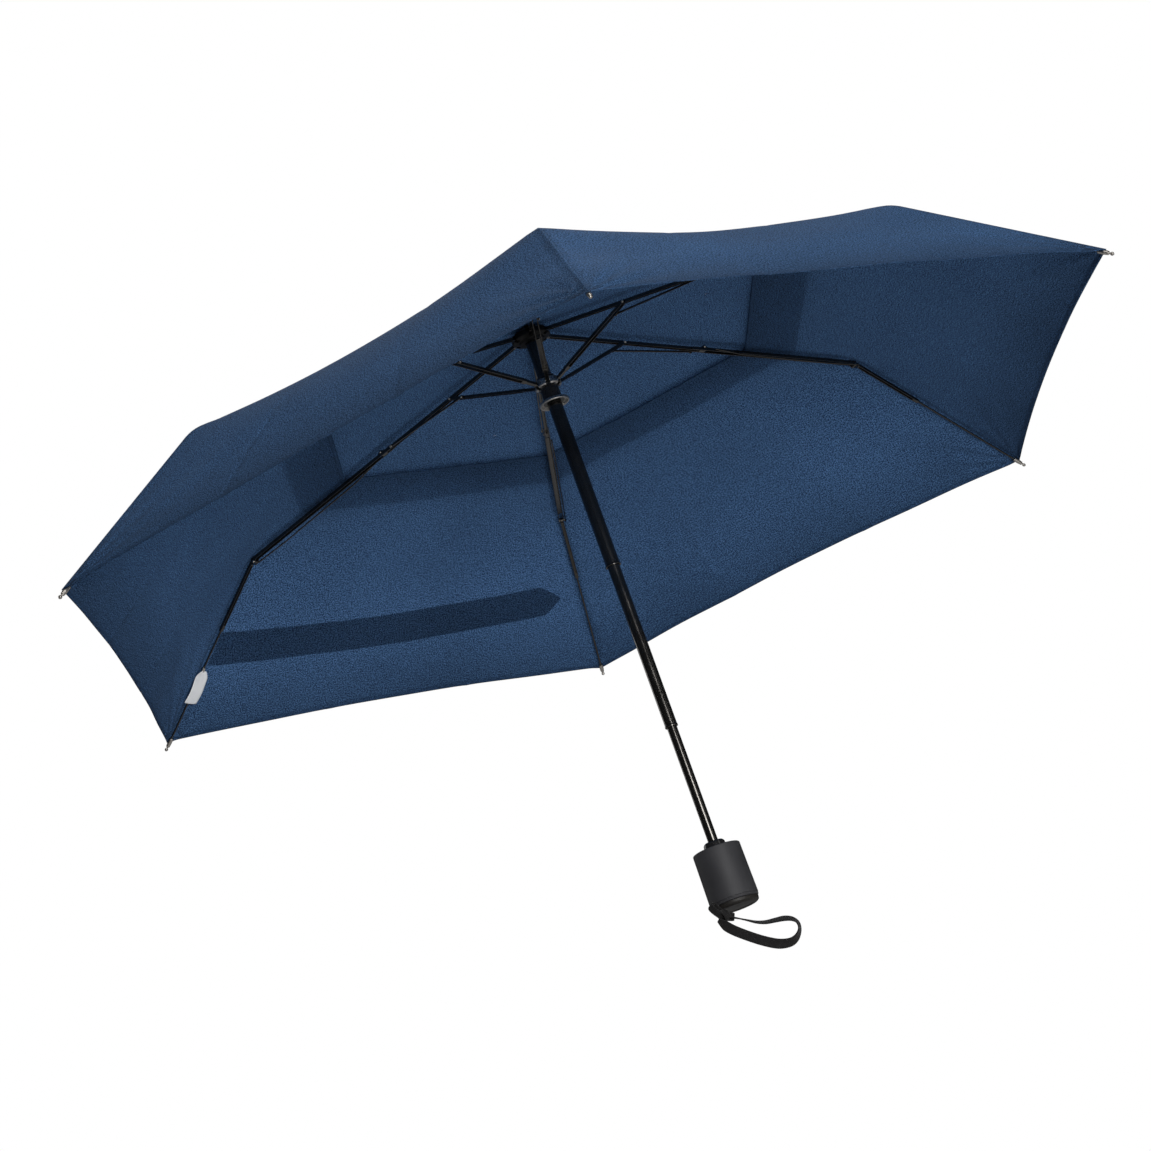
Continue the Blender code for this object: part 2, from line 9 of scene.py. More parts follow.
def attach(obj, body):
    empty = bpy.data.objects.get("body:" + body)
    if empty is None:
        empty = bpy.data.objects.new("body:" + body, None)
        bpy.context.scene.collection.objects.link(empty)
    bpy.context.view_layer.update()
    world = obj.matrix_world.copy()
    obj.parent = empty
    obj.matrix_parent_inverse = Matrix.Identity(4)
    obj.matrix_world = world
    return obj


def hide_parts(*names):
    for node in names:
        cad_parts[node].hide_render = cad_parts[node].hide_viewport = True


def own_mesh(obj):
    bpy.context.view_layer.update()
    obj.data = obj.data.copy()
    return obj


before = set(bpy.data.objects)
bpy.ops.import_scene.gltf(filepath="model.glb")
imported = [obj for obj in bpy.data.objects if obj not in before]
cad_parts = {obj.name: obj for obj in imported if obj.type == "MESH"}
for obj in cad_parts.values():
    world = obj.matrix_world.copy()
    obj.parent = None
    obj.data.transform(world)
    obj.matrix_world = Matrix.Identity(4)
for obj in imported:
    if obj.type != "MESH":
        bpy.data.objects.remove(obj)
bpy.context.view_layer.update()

MM = 0.001
RIBS = 6

# Heights and radii of the frame, as in the CAD.
NOTCH_Z, RUNNER_Z, HANDLE_TOP, CAP_TOP = 520 * MM, 473 * MM, 50 * MM, 4 * MM
NOTCH_HINGE_R, NOTCH_HINGE_DROP, RUNNER_HINGE_R = 15 * MM, 2 * MM, 10 * MM
RIB_SLOPE, OUTER_SLOPE = math.radians(10), math.radians(39)
TOP_RIB, MIDDLE_RIB, OUTER_RIB = 159.4 * MM, 161 * MM, 192 * MM
STRUT_PIN, JOINT_RISE = 77.5 * MM, 2.3 * MM
CLOTH_RISE, TIP_RISE, COVER_RISE = 5 * MM, 3 * MM, 7.5 * MM
VENT_R, COVER_R, COVER_HOLE = 215 * MM, 268 * MM, 6 * MM
HEM_CURVE, HEM_BACK = 8 * MM, 5 * MM  # how far the hem curves in between the tips, and stops short of them
HEM, SEAM_WIDTH = 4 * MM, 5 * MM  # turned under
SOFT_BEND = (12 * MM, 100 * MM)  # half the length of the canopy's bend: at the ribs and midway between
UPPER_END, LOWER_END = 302.3 * MM, 157.2 * MM  # lower ends of the upper and the middle tube
UPPER_TUBE_R, MIDDLE_TUBE_R = 6.2 * MM, 5.2 * MM

# The closing strap: its panel, its edges as shares of the outer rib, and its ends as shares of the panel.
TIE_PANEL, TIE_AT, TIE_RANGE = 4, (0.395, 0.57), (0.06, 0.985)
TIE_SAG, TIE_LIFT = 8 * MM, 1.1 * MM  # how far it dips midway, and lies above the cloth
TIE_TIP, TIE_TAPER = 0.06, 0.05  # its pointed end: share of the width at the very end, and where it is full


def along(start, slope, x, z=0.0):
    """A point (r, z) at x down a line of that slope and z square to it."""
    return (
        start[0] + x * math.cos(slope) + z * math.sin(slope),
        start[1] - x * math.sin(slope) + z * math.cos(slope),
    )


NOTCH_HINGE = (NOTCH_HINGE_R, NOTCH_Z - NOTCH_HINGE_DROP)
MIDDLE_AXIS = along(NOTCH_HINGE, RIB_SLOPE, TOP_RIB, JOINT_RISE)
OUTER_AXIS = along(MIDDLE_AXIS, RIB_SLOPE, MIDDLE_RIB, -2 * JOINT_RISE)
BEND = along(MIDDLE_AXIS, RIB_SLOPE, MIDDLE_RIB, -JOINT_RISE)
RUNNER_HINGE = (RUNNER_HINGE_R, RUNNER_Z)
STRUT_END = along(NOTCH_HINGE, RIB_SLOPE, STRUT_PIN)
STRUT = math.dist(RUNNER_HINGE, STRUT_END)
STRUT_SLOPE = -math.atan2(STRUT_END[1] - RUNNER_HINGE[1], STRUT_END[0] - RUNNER_HINGE[0])
LINK_BACK = 13 * MM  # from the strut's end back to the link's pin
LINK_TAIL = (-12.05 * MM, -3 * MM)  # from the middle rib's axis to the link's other pin
LINK_END = along(MIDDLE_AXIS, RIB_SLOPE, *LINK_TAIL)
RIB_TO_BEND = math.dist(NOTCH_HINGE, BEND)
SEAM = RIB_TO_BEND + OUTER_RIB - HEM_BACK


def rib_angle(k):
    """The direction of a rib seen from above. Rib 1 has k = 0."""
    return math.radians(-90 + 360 / RIBS * k)


def along_rib(r):
    """How far along a rib from its notch hinge the radius r is."""
    return (r - NOTCH_HINGE_R) / math.cos(RIB_SLOPE)


# ---- camera, light and floor ---------

CAMERA_AT = Vector((-0.20844, -2.14277, -0.33513))
CAMERA_RIGHT = Vector((0.94645, 0.01847, -0.32231))
CAMERA_DOWN = Vector((-0.31316, 0.29518, -0.90267))
CAMERA_AHEAD = Vector((0.07847, 0.95526, 0.28516))
FOCAL_LENGTH, SENSOR_WIDTH = 84.714, 36.0
NEAR_CLIP, FAR_CLIP = 0.05, 60.0
FLOOR_Z, FLOOR_HALF = -0.42, 12.0
FLOOR_COLOUR = (0.86, 0.86, 0.86)
FLOOR_GLOW = 0.9  # keeps the floor pale where the lights don't reach, and lights nothing
SURROUND = 0.03  # light from all sides; the camera sees white
AIM = (0, 0, 0.42)
# Name, place, width and watts of the round lights, which point at AIM.
LIGHTS = [
    ("key", (0.3, -2.2, 2.4), 1.6, 11),
    ("back", (0.3, 1.9, 2.4), 1.4, 19),
    ("back_left", (-1.9, 1.6, 1.2), 1.4, 7.5),
    ("low_front", (0.7, -2.5, 0.1), 1.2, 58),
]
# A tall light for the highlight on the shaft.
STRIP_AT, STRIP_WIDTH, STRIP_HEIGHT, STRIP_WATTS = (1.95, -1.35, 0.95), 0.22, 1.3, 2.2


def placed(name, data):
    """A new object in the scene."""
    obj = bpy.data.objects.new(name, data)
    bpy.context.scene.collection.objects.link(obj)
    return obj


def camera():
    data = bpy.data.cameras.new("camera")
    data.lens, data.sensor_width = FOCAL_LENGTH, SENSOR_WIDTH
    data.clip_start, data.clip_end = NEAR_CLIP, FAR_CLIP
    obj = placed("camera", data)
    turn = Matrix((CAMERA_RIGHT, -CAMERA_DOWN, -CAMERA_AHEAD)).transposed()
    obj.matrix_world = Matrix.Translation(CAMERA_AT) @ turn.to_4x4()
    bpy.context.scene.camera = obj


def area_light(name, at, towards, size, watts, tall=None):
    """A round light, or with a height an oblong one."""
    data = bpy.data.lights.new(name, "AREA")
    data.shape, data.size, data.energy = "DISK", size, watts
    if tall:
        data.shape, data.size_y = "RECTANGLE", tall
    obj = placed(name, data)
    obj.location = at
    obj.rotation_euler = (Vector(towards) - Vector(at)).to_track_quat("-Z", "Y").to_euler()


def studio():
    """The lights, and white surroundings that the camera sees brighter than the surfaces do."""
    scene = bpy.context.scene
    scene.view_settings.view_transform = "Standard"
    world = bpy.data.worlds.new("studio")
    scene.world = world
    world.use_nodes = True
    tree = world.node_tree
    tree.nodes.clear()
    out = tree.nodes.new("ShaderNodeOutputWorld")
    seen, lit = tree.nodes.new("ShaderNodeBackground"), tree.nodes.new("ShaderNodeBackground")
    for node, strength in ((seen, 1.0), (lit, SURROUND)):
        node.inputs["Color"].default_value = (1, 1, 1, 1)
        node.inputs["Strength"].default_value = strength
    path, mix = tree.nodes.new("ShaderNodeLightPath"), tree.nodes.new("ShaderNodeMixShader")
    tree.links.new(path.outputs["Is Camera Ray"], mix.inputs[0])
    tree.links.new(lit.outputs[0], mix.inputs[1])
    tree.links.new(seen.outputs[0], mix.inputs[2])
    tree.links.new(mix.outputs[0], out.inputs[0])
    for name, at, size, watts in LIGHTS:
        area_light(name, at, AIM, size, watts)
    area_light("strip", STRIP_AT, (0, 0, STRIP_AT[2]), STRIP_WIDTH, STRIP_WATTS, STRIP_HEIGHT)


def floor():
    mesh = bpy.data.meshes.new("floor")
    corners = [(x * FLOOR_HALF, y * FLOOR_HALF, FLOOR_Z) for x, y in ((-1, -1), (1, -1), (1, 1), (-1, 1))]
    mesh.from_pydata(corners, [], [(0, 1, 2, 3)])
    finish = Finish("floor_paint", FLOOR_COLOUR, 0.8)
    finish.bump(finish.noise(finish.place(), 60, 4), 0.1, 0.001)
    finish.set("Emission Color", (1, 1, 1, 1))
    seen = finish.node("ShaderNodeLightPath").outputs["Is Camera Ray"]
    finish.set("Emission Strength", finish.times(seen, FLOOR_GLOW))
    mesh.materials.append(finish.material)
    placed("floor", mesh)


# ---- materials -----------------------


class Finish:
    """A Principled material and short calls for the nodes behind it."""

    def __init__(self, name, colour, roughness, metallic=0.0, specular=0.5):
        self.material = bpy.data.materials.new(name)
        self.material.use_nodes = True
        self.tree = self.material.node_tree
        self.shader = self.tree.nodes["Principled BSDF"]
        self.set("Base Color", (*colour, 1))
        self.set("Roughness", roughness)
        self.set("Metallic", metallic)
        self.set("Specular IOR Level", specular)

    def set(self, socket, value):
        self.feed(self.shader.inputs[socket], value)

    def node(self, kind, **inputs):
        made = self.tree.nodes.new(kind)
        for key, value in inputs.items():
            self.feed(made.inputs[key.replace("_", " ")], value)
        return made

    def feed(self, socket, value):
        if isinstance(value, bpy.types.NodeSocket):
            self.tree.links.new(value, socket)
        else:
            socket.default_value = value

    def place(self, scale=(1, 1, 1)):
        """Positions on the object in metres, stretched by scale."""
        where = self.node("ShaderNodeTexCoord").outputs["Object"]
        return self.node("ShaderNodeMapping", Vector=where, Scale=scale).outputs[0]

    def cloth_place(self, scale=(1, 1, 1)):
        """Positions across and along the cloth in metres, stretched by scale."""
        where = self.tree.nodes.new("ShaderNodeUVMap")
        where.uv_map = "cloth"
        return self.node("ShaderNodeMapping", Vector=where.outputs[0], Scale=scale).outputs[0]

    def noise(self, place, scale, detail=2.0, rough=0.5):
        made = self.node("ShaderNodeTexNoise", Vector=place, Scale=scale, Detail=detail, Roughness=rough)
        return made.outputs["Fac"]

    def math(self, operation, a, b=0.0, c=0.0):
        made = self.tree.nodes.new("ShaderNodeMath")
        made.operation = operation
        for socket, value in zip(made.inputs, (a, b, c)):
            self.feed(socket, value)
        return made.outputs[0]

    def times(self, a, b):
        return self.math("MULTIPLY", a, b)

    def plus(self, a, b):
        return self.math("ADD", a, b)

    def minus(self, a, b):
        return self.math("SUBTRACT", a, b)

    def blend(self, a, share_a, b, share_b):
        """The sum of a and b, each times its share."""
        return self.plus(self.times(a, share_a), self.times(b, share_b))

    def level(self, value, low, high, start=0.0, end=1.0):
        """The number low where the value is below start, to high where it is above end."""
        made = self.tree.nodes.new("ShaderNodeMapRange")
        self.feed(made.inputs["Value"], value)
        for socket, number in (("From Min", start), ("From Max", end), ("To Min", low), ("To Max", high)):
            made.inputs[socket].default_value = number
        return made.outputs[0]

    def ramp(self, value, low, high, start=0.0, end=1.0):
        """The colour low where the value is below start, to high where it is above end."""
        made = self.tree.nodes.new("ShaderNodeMix")
        made.data_type = "RGBA"
        self.feed(made.inputs[0], self.level(value, 0.0, 1.0, start, end))
        for socket, colour in ((made.inputs[6], low), (made.inputs[7], high)):
            self.feed(socket, colour if isinstance(colour, bpy.types.NodeSocket) else (*colour, 1))
        return made.outputs[2]

    def scaled(self, colour, factor):
        """The colour times a number."""
        made = self.tree.nodes.new("ShaderNodeVectorMath")
        made.operation = "SCALE"
        self.feed(made.inputs["Vector"], colour)
        self.feed(made.inputs["Scale"], factor)
        return made.outputs[0]

    def node_attribute(self, name):
        made = self.tree.nodes.new("ShaderNodeAttribute")
        made.attribute_name = name
        return made.outputs["Fac"]

    def bump(self, height, strength, distance, under=None):
        made = self.node("ShaderNodeBump", Height=height, Strength=strength, Distance=distance)
        if under is not None:
            self.feed(made.inputs["Normal"], under)
        self.set("Normal", made.outputs[0])
        return made.outputs[0]


THREAD = 0.42 * MM  # pitch of the canopy's threads
HEM_SHADE = (0.62, 1.0)  # painted shade: tone of the cloth at the hem, and away from it
HEM_SHADE_WIDTH = 75 * MM
GRAIN = (0.25, 1.8)  # tone of the darkest and the lightest specks of the weave
SPECKS = (0.38, 0.64)  # noise levels of those two
STRAP_SHADOW_TONE = 0.5  # painted shadow: tone of the cloth's colour where the closing strap lies behind it
PANEL_STEP, COVER_STEP = 0.61, 0.9  # how far apart the panels, and the vent cover's, lie on the flat cloth
EDGE_BLUR, END_BLUR = 0.5 * MM, 0.002  # of the painted shadow under the strap, the second as a share of the panel
STITCH, STITCH_SHOWN, STITCH_HALF = 3.2 * MM, 0.72, 0.28 * MM  # pitch, share of it on this side, half width
STITCH_ROWS = (("seam", 2.4 * MM), ("hem", 4.2 * MM))  # distances from seam and hem


def shades(colour, *factors):
    """The colour times each factor."""
    return [tuple(c * f for c in colour) for f in factors]


def strap_shadow_mask(finish, flat):
    """1 where the closing strap is sewn to the outside of its panel, from the place on the flat cloth: the
    mask of its painted shadow.
    """
    low, high = (RIB_TO_BEND + OUTER_RIB * share for share in TIE_AT)
    x = finish.minus(flat.outputs[0], TIE_PANEL * PANEL_STEP)
    u = finish.plus(finish.math("DIVIDE", x, finish.plus(flat.outputs[1], NOTCH_HINGE_R)), 0.5)
    taper = finish.level(u, TIE_TIP, 1.0, TIE_RANGE[0], TIE_RANGE[0] + TIE_TAPER)
    sag = finish.times(finish.times(u, finish.minus(1.0, u)), 4 * TIE_SAG)
    middle = finish.plus(sag, (low + high) / 2)
    off = finish.math("ABSOLUTE", finish.minus(flat.outputs[1], middle))
    past = finish.minus(off, finish.times(taper, (high - low) / 2))
    across = finish.level(past, 1.0, 0.0, -EDGE_BLUR, EDGE_BLUR)
    along = finish.level(u, 0.0, 1.0, TIE_RANGE[0] - END_BLUR, TIE_RANGE[0] + END_BLUR)
    short = finish.level(u, 1.0, 0.0, TIE_RANGE[1] - END_BLUR, TIE_RANGE[1] + END_BLUR)
    return finish.times(across, finish.times(along, short))


def stitches(finish):
    """1 on the thread of a row of stitches on each side of every seam and one along each hem."""
    rows = []
    run = finish.node_attribute("run")
    dash = finish.math("LESS_THAN", finish.math("FRACT", finish.math("DIVIDE", run, STITCH)), STITCH_SHOWN)
    for name, distance in STITCH_ROWS:
        off = finish.math("ABSOLUTE", finish.minus(finish.node_attribute(name), distance))
        rows.append(finish.times(finish.math("LESS_THAN", off, STITCH_HALF), dash))
    return finish.math("MAXIMUM", *rows)


def cloth_finish(name, colour, through, share, under=True):
    """Thin plain-weave cloth: its colour in front light, the colour that light from behind takes through it,
    and the share that passes. With under, a painted shadow darkens it where the closing strap lies behind it."""
    finish = Finish(name, colour, 0.80, specular=0.05)
    finish.set("Sheen Weight", 0.01)
    finish.set("Sheen Roughness", 0.45)
    flat = finish.cloth_place()
    split = finish.node("ShaderNodeSeparateXYZ", Vector=flat)
    weft, warp = [finish.math("SINE", finish.times(split.outputs[k], math.tau / THREAD)) for k in (0, 1)]
    weave = finish.times(weft, warp)
    slub_along = finish.noise(finish.cloth_place((900, 90, 1)), 1.0, 2.0, 0.6)
    slub_across = finish.noise(finish.cloth_place((80, 1000, 1)), 1.0, 2.0, 0.6)
    grain = finish.noise(finish.cloth_place(), 800, 1.0, 0.75)
    wide = finish.noise(flat, 9, 3.0, 0.5)
    threads = finish.blend(slub_along, 0.5, slub_across, 0.5)
    tone = finish.blend(finish.blend(threads, 0.6, wide, 0.4), 0.6, grain, 0.4)
    speck = finish.blend(grain, 0.75, threads, 0.25)
    stitch = stitches(finish)
    # Painted shade: the cloth is darker towards the hem, over HEM_SHADE_WIDTH, in its colour and in the light
    # that passes.
    painted_hem_shade = finish.level(finish.node_attribute("hem"), *HEM_SHADE, 0.0, HEM_SHADE_WIDTH)

    dark, light, thread_colour = shades(colour, 0.66, 1.34, 0.55)
    base = finish.ramp(stitch, finish.ramp(tone, dark, light, 0.35, 0.65), thread_colour)
    base = finish.scaled(base, finish.level(speck, *GRAIN, *SPECKS))
    base = finish.scaled(base, painted_hem_shade)
    if under:
        # Painted shadow of the closing strap, which lies behind the cloth.
        base = finish.scaled(base, finish.math("MULTIPLY_ADD", strap_shadow_mask(finish, split), STRAP_SHADOW_TONE - 1, 1.0))
    finish.set("Base Color", base)
    finish.set("Roughness", finish.level(threads, 0.70, 0.86, 0.3, 0.7))
    relief = finish.plus(finish.blend(weave, 0.35, threads, 1.3), finish.times(stitch, -1.5))
    normal = finish.bump(relief, 0.35, 0.12 * MM)

    # What passes from behind: specks in plain cloth (layers 1), even in a hem (0.5), little at a seam (1.7).
    shade, glow, thick, hem = shades(through, 0.12, 2.5, 0.30, 1.5)
    passed = finish.ramp(speck, shade, glow, *SPECKS)
    layers = finish.node_attribute("layers")
    thin = finish.ramp(layers, finish.ramp(layers, hem, passed, 0.5, 0.9), thick, 1.0, 1.9)
    # The same painted shade towards the hem, on the light that passes.
    thin = finish.scaled(thin, painted_hem_shade)
    behind = finish.node("ShaderNodeBsdfTranslucent", Color=thin, Normal=normal)
    mix = finish.tree.nodes.new("ShaderNodeMixShader")
    mix.inputs[0].default_value = share
    finish.tree.links.new(finish.shader.outputs[0], mix.inputs[1])
    finish.tree.links.new(behind.outputs[0], mix.inputs[2])
    finish.tree.links.new(mix.outputs[0], finish.tree.nodes["Material Output"].inputs[0])
    return finish.material


def metal_finish(name, colour, roughness, metallic, wear, specular=0.5, dents=0.25 * MM, tint=(1, 1, 1)):
    """Smooth metal or lacquer with faint scuffs, lighter where rubbed."""
    finish = Finish(name, colour, roughness, metallic, specular)
    finish.set("Specular Tint", (*tint, 1))
    scuff = finish.noise(finish.place((1, 1, 0.25)), 420, 5.0, 0.6)
    wide = finish.noise(finish.place(), 60, 3.0, 0.5)
    rubbed = tuple(min(1.0, c + wear) for c in colour)
    finish.set("Base Color", finish.ramp(scuff, colour, rubbed, 0.55, 0.75))
    finish.set("Roughness", finish.level(wide, roughness * 0.8, roughness * 1.3, 0.35, 0.7))
    soft_edge = finish.node("ShaderNodeBevel", Radius=0.5 * MM)
    soft_edge.samples = 6
    finish.bump(wide, 0.12, dents, soft_edge.outputs[0])
    return finish.material


RUNNER_BODY_R = 9.4 * MM


def runner_finish(dark, metal):
    """Black nylon body, with the two plated flanges that stand out from it."""
    finish = Finish("runner_parts", dark, 0.4)
    where = finish.tree.nodes.new("ShaderNodeTexCoord").outputs["Object"]
    split = finish.node("ShaderNodeSeparateXYZ", Vector=where)
    square = [finish.times(split.outputs[k], split.outputs[k]) for k in (0, 1)]
    radius = finish.math("SQRT", finish.plus(*square))
    outside = finish.math("GREATER_THAN", radius, RUNNER_BODY_R)
    scuff = finish.noise(finish.place(), 500, 4.0, 0.6)
    plated = finish.ramp(scuff, metal, (0.5, 0.49, 0.47), 0.4, 0.7)
    finish.set("Base Color", finish.ramp(outside, dark, plated))
    finish.set("Metallic", outside)
    finish.set("Roughness", finish.level(scuff, 0.24, 0.42, 0.35, 0.7))
    finish.bump(scuff, 0.15, 0.06 * MM)
    return finish.material


def moulded_finish(name, colour, roughness, grain, depth, specular=0.5):
    """Moulded plastic or soft-touch rubber with a fine grain."""
    finish = Finish(name, colour, roughness, specular=specular)
    fine = finish.noise(finish.place(), grain, 3.0, 0.6)
    wide = finish.noise(finish.place(), 45, 4.0, 0.6)
    dark, light = shades(colour, 0.86, 1.16)
    finish.set("Base Color", finish.ramp(wide, dark, light, 0.35, 0.68))
    finish.set("Roughness", finish.level(wide, roughness * 0.9, min(1.0, roughness * 1.12), 0.35, 0.7))
    finish.bump(fine, 0.35, depth)
    return finish.material


TAPE_PICK, TAPE_END = 1.0 * MM, 0.9 * MM  # pitch of the tape's threads along and across it


def webbing_finish():
    """Black woven tape: ribs across it and a chevron of warp threads."""
    finish = Finish("woven_tape", (0.014, 0.014, 0.015), 0.75, specular=0.2)
    finish.set("Sheen Weight", 0.08)
    split = finish.node("ShaderNodeSeparateXYZ", Vector=finish.cloth_place())
    across, run = split.outputs[0], split.outputs[1]
    fold = finish.math("ABSOLUTE", across)
    slant = finish.plus(run, finish.times(fold, 0.8))
    picks = finish.math("SINE", finish.times(slant, math.tau / TAPE_PICK))
    ends = finish.math("SINE", finish.times(across, math.tau / TAPE_END))
    weave = finish.blend(picks, 0.6, ends, 0.4)
    finish.set("Base Color", finish.ramp(weave, (0.003, 0.003, 0.003), (0.013, 0.012, 0.012), -1.0, 1.0))
    finish.set("Roughness", finish.level(weave, 0.85, 0.65, -1.0, 1.0))
    finish.bump(weave, 0.6, 0.18 * MM)
    return finish.material


def label_finish():
    """White satin tape, as good as plain."""
    finish = Finish("label_tape", (0.93, 0.94, 0.96), 0.6)
    weave = finish.noise(finish.place(), 1500, 2.0, 0.6)
    soft = finish.noise(finish.place(), 70, 3.0)
    finish.set("Base Color", finish.ramp(soft, (0.90, 0.92, 0.94), (0.96, 0.97, 0.98), 0.35, 0.65))
    finish.bump(weave, 0.3, 0.05 * MM)
    return finish.material


# ---- mesh helpers --------------------


def piece(name, mesh, material, body, replaced=()):
    """Puts the mesh on a body, in place of the CAD nodes replaced."""
    obj = placed(name, mesh)
    mesh.materials.append(material)
    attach(obj, body)
    if replaced:
        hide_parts(*replaced)
    return obj


def smooth(mesh):
    for face in mesh.polygons:
        face.use_smooth = True


def plain_mesh(name, points, faces):
    """A smooth mesh with its faces turned outwards."""
    mesh = bpy.data.meshes.new(name)
    mesh.from_pydata([tuple(p) for p in points], [], faces)
    work = bmesh.new()
    work.from_mesh(mesh)
    bmesh.ops.recalc_face_normals(work, faces=work.faces)
    work.to_mesh(mesh)
    work.free()
    smooth(mesh)
    return mesh


def turned(name, profile, sides=96, sharp=35):
    """A closed (radius, z) profile turned about Z, smooth except at corners sharper than that angle."""
    points, rings = [], []
    for radius, z in profile:
        if radius < 1e-9:
            rings.append([len(points)] * sides)
            points.append((0, 0, z))
            continue
        rings.append(list(range(len(points), len(points) + sides)))
        for k in range(sides):
            a = math.tau * k / sides
            points.append((radius * math.cos(a), radius * math.sin(a), z))
    faces = []
    for ring, after in zip(rings, rings[1:] + rings[:1]):
        for k in range(sides):
            corner = list(dict.fromkeys([ring[k], ring[(k + 1) % sides], after[(k + 1) % sides], after[k]]))
            if len(corner) > 2:
                faces.append(tuple(corner))
    mesh = plain_mesh(name, points, faces)
    mesh.set_sharp_from_angle(angle=math.radians(sharp))
    return mesh


def rounded(corners, radius, steps, r=0.0, z=0.0):
    """The closed outline through corners (r, z, cut) in mm from r and z, rounded off where cut is True."""
    corners = [(r + a * MM, z + b * MM, cut) for a, b, cut in corners]
    out = []
    for k, (*place, cut) in enumerate(corners):
        if not cut:
            out.append(place)
            continue
        here = Vector(place)
        before, after = Vector(corners[k - 1][:2]), Vector(corners[(k + 1) % len(corners)][:2])
        a = here + (before - here).normalized() * radius
        b = here + (after - here).normalized() * radius
        for j in range(steps + 1):
            t = j / steps
            out.append(tuple(a.lerp(here, t).lerp(here.lerp(b, t), t)))
    return out


# ---- canopy --------------------------


def rib_line(s, rise, half_bend):
    """Arrays (r, z) of the cloth over a rib: s along it from its notch hinge, rise above its centre line."""
    past = s - RIB_TO_BEND
    inner = np.array([math.cos(RIB_SLOPE), -math.sin(RIB_SLOPE)])
    outer = np.array([math.cos(OUTER_SLOPE), -math.sin(OUTER_SLOPE)])
    share = np.clip((past + half_bend) / (2 * half_bend), 0, 1)[..., None]
    bend, hinge = np.array(BEND), np.array(NOTCH_HINGE)
    hb = half_bend[..., None]
    curve = (1 - share) ** 2 * (bend - hb * inner) + 2 * share * (1 - share) * bend
    curve = curve + share**2 * (bend + hb * outer)
    straight = hinge + s[..., None] * inner
    beyond = bend + past[..., None] * outer
    line = np.where(past[..., None] < -hb, straight, np.where(past[..., None] > hb, beyond, curve))
    way = (1 - share) * inner + share * outer
    way = way / np.linalg.norm(way, axis=-1, keepdims=True)
    normal = np.stack([-way[..., 1], way[..., 0]], -1)
    return line + rise[..., None] * normal


def waves(a, b, seed, count=5):
    """A smooth, repeatable unevenness from -1 to 1 over the plane (a, b)."""
    random = np.random.default_rng(seed)
    total = 0.0
    for _ in range(count):
        angle, size, phase = (random.uniform(*span) for span in ((0, math.pi), (1.0, 3.0), (0, math.tau)))
        total = total + np.sin(size * (a * math.cos(angle) + b * math.sin(angle)) + phase)
    return total / count


# How far the cloth stands off its smooth shape: slack between the ribs, puckers beside the seams, folds along
# and across the panel, and creases from the tips.
SLACK, PUCKER, FOLD_ALONG, FOLD_ACROSS, TIP_CREASE = 1.5 * MM, 0.55 * MM, 0.75 * MM, 0.5 * MM, 1.1 * MM
FOLDS_AT = (0.33, 0.66)  # shares of the panel
CANOPY_CROSS, COVER_CROSS = 0.245, 0.12  # how far along the rib the fold across is


def cloth_relief(panel, s, u, cover):
    """The unevenness of the cloth, square to it."""
    chord = s + NOTCH_HINGE_R
    near = np.minimum(u, 1 - u) * chord  # distance from the nearer seam, in metres
    ease = np.clip(near / (12 * MM), 0, 1)
    open_part = ease**2 * (3 - 2 * ease)
    seed = 100 * panel + (7 if cover else 0)
    slack = SLACK * waves(s * 22, u * chord * 22, seed) * open_part
    pucker = PUCKER * waves(s * 260, near * 40, seed + 1, 3) * np.exp(-near / (11 * MM))
    pucker = pucker * np.clip(near / (2.5 * MM), 0, 1)
    folds = 0.0
    for k, place in enumerate(FOLDS_AT):
        off = (u - place) * chord + 6 * MM * np.sin(s * 17 + panel + k)
        folds = folds - FOLD_ALONG * np.exp(-np.abs(off) / (3.2 * MM))
    cross = s - (COVER_CROSS if cover else CANOPY_CROSS) - 4 * MM * np.sin(u * 9 + panel)
    folds = folds - FOLD_ACROSS * np.exp(-np.abs(cross) / (3 * MM)) * open_part
    tension = 0.0
    if not cover:
        back = SEAM - s
        for tip, side in enumerate((u * chord, (1 - u) * chord)):
            ahead = np.hypot(side, back)
            fan = np.arctan2(side, back)
            fade = np.exp(-ahead / (75 * MM)) * np.clip(ahead / (14 * MM), 0, 1)
            tension = tension + TIP_CREASE * np.sin(fan * 13 + panel * 1.7 + tip) * fade * open_part
    return slack + pucker + folds * np.clip(near / (6 * MM), 0, 1) + tension


def cloth_surface(panel, s, u, cover):
    """Points of the cloth between rib `panel` (u = 0) and the next (u = 1)."""
    crown = 4 * u * (1 - u)
    half_bend = SOFT_BEND[0] + (SOFT_BEND[1] - SOFT_BEND[0]) * crown
    share = np.clip((s - RIB_TO_BEND) / OUTER_RIB, 0, 1)
    rise = np.full_like(s, COVER_RISE) if cover else CLOTH_RISE + (TIP_RISE - CLOTH_RISE) * share
    line = rib_line(s, rise + cloth_relief(panel, s, u, cover), half_bend)
    first, second = rib_angle(panel - 1), rib_angle(panel)
    x = line[..., 0] * ((1 - u) * math.cos(first) + u * math.cos(second))
    y = line[..., 0] * ((1 - u) * math.sin(first) + u * math.sin(second))
    return np.stack([x, y, line[..., 1]], -1)


def hem_at(u):
    """Where the canopy's edge is, along the rib, across a panel."""
    return SEAM - HEM_CURVE * 4 * u * (1 - u)


def bend_at(u):
    """Where the outer ring of the canopy starts: at the ribs' bend, further out between the ribs."""
    return RIB_TO_BEND + BEND_STEP * np.minimum(np.minimum(u, 1 - u) / SIDE, 1)


def lapped(u):
    """The same line, moved in by the lap that hides the join."""
    return bend_at(u) - LAP


def value_at(line, u):
    """A line across the panel is a function of u, or one number."""
    return line(u) if callable(line) else np.full_like(u, line)


# How a hem turns under: (share of its width, height) from the fold to the raw edge.
TURN_UNDER = [(0.0, -0.45 * MM), (0.35, -0.85 * MM), (0.7, -0.85 * MM), (1.0, -0.55 * MM)]


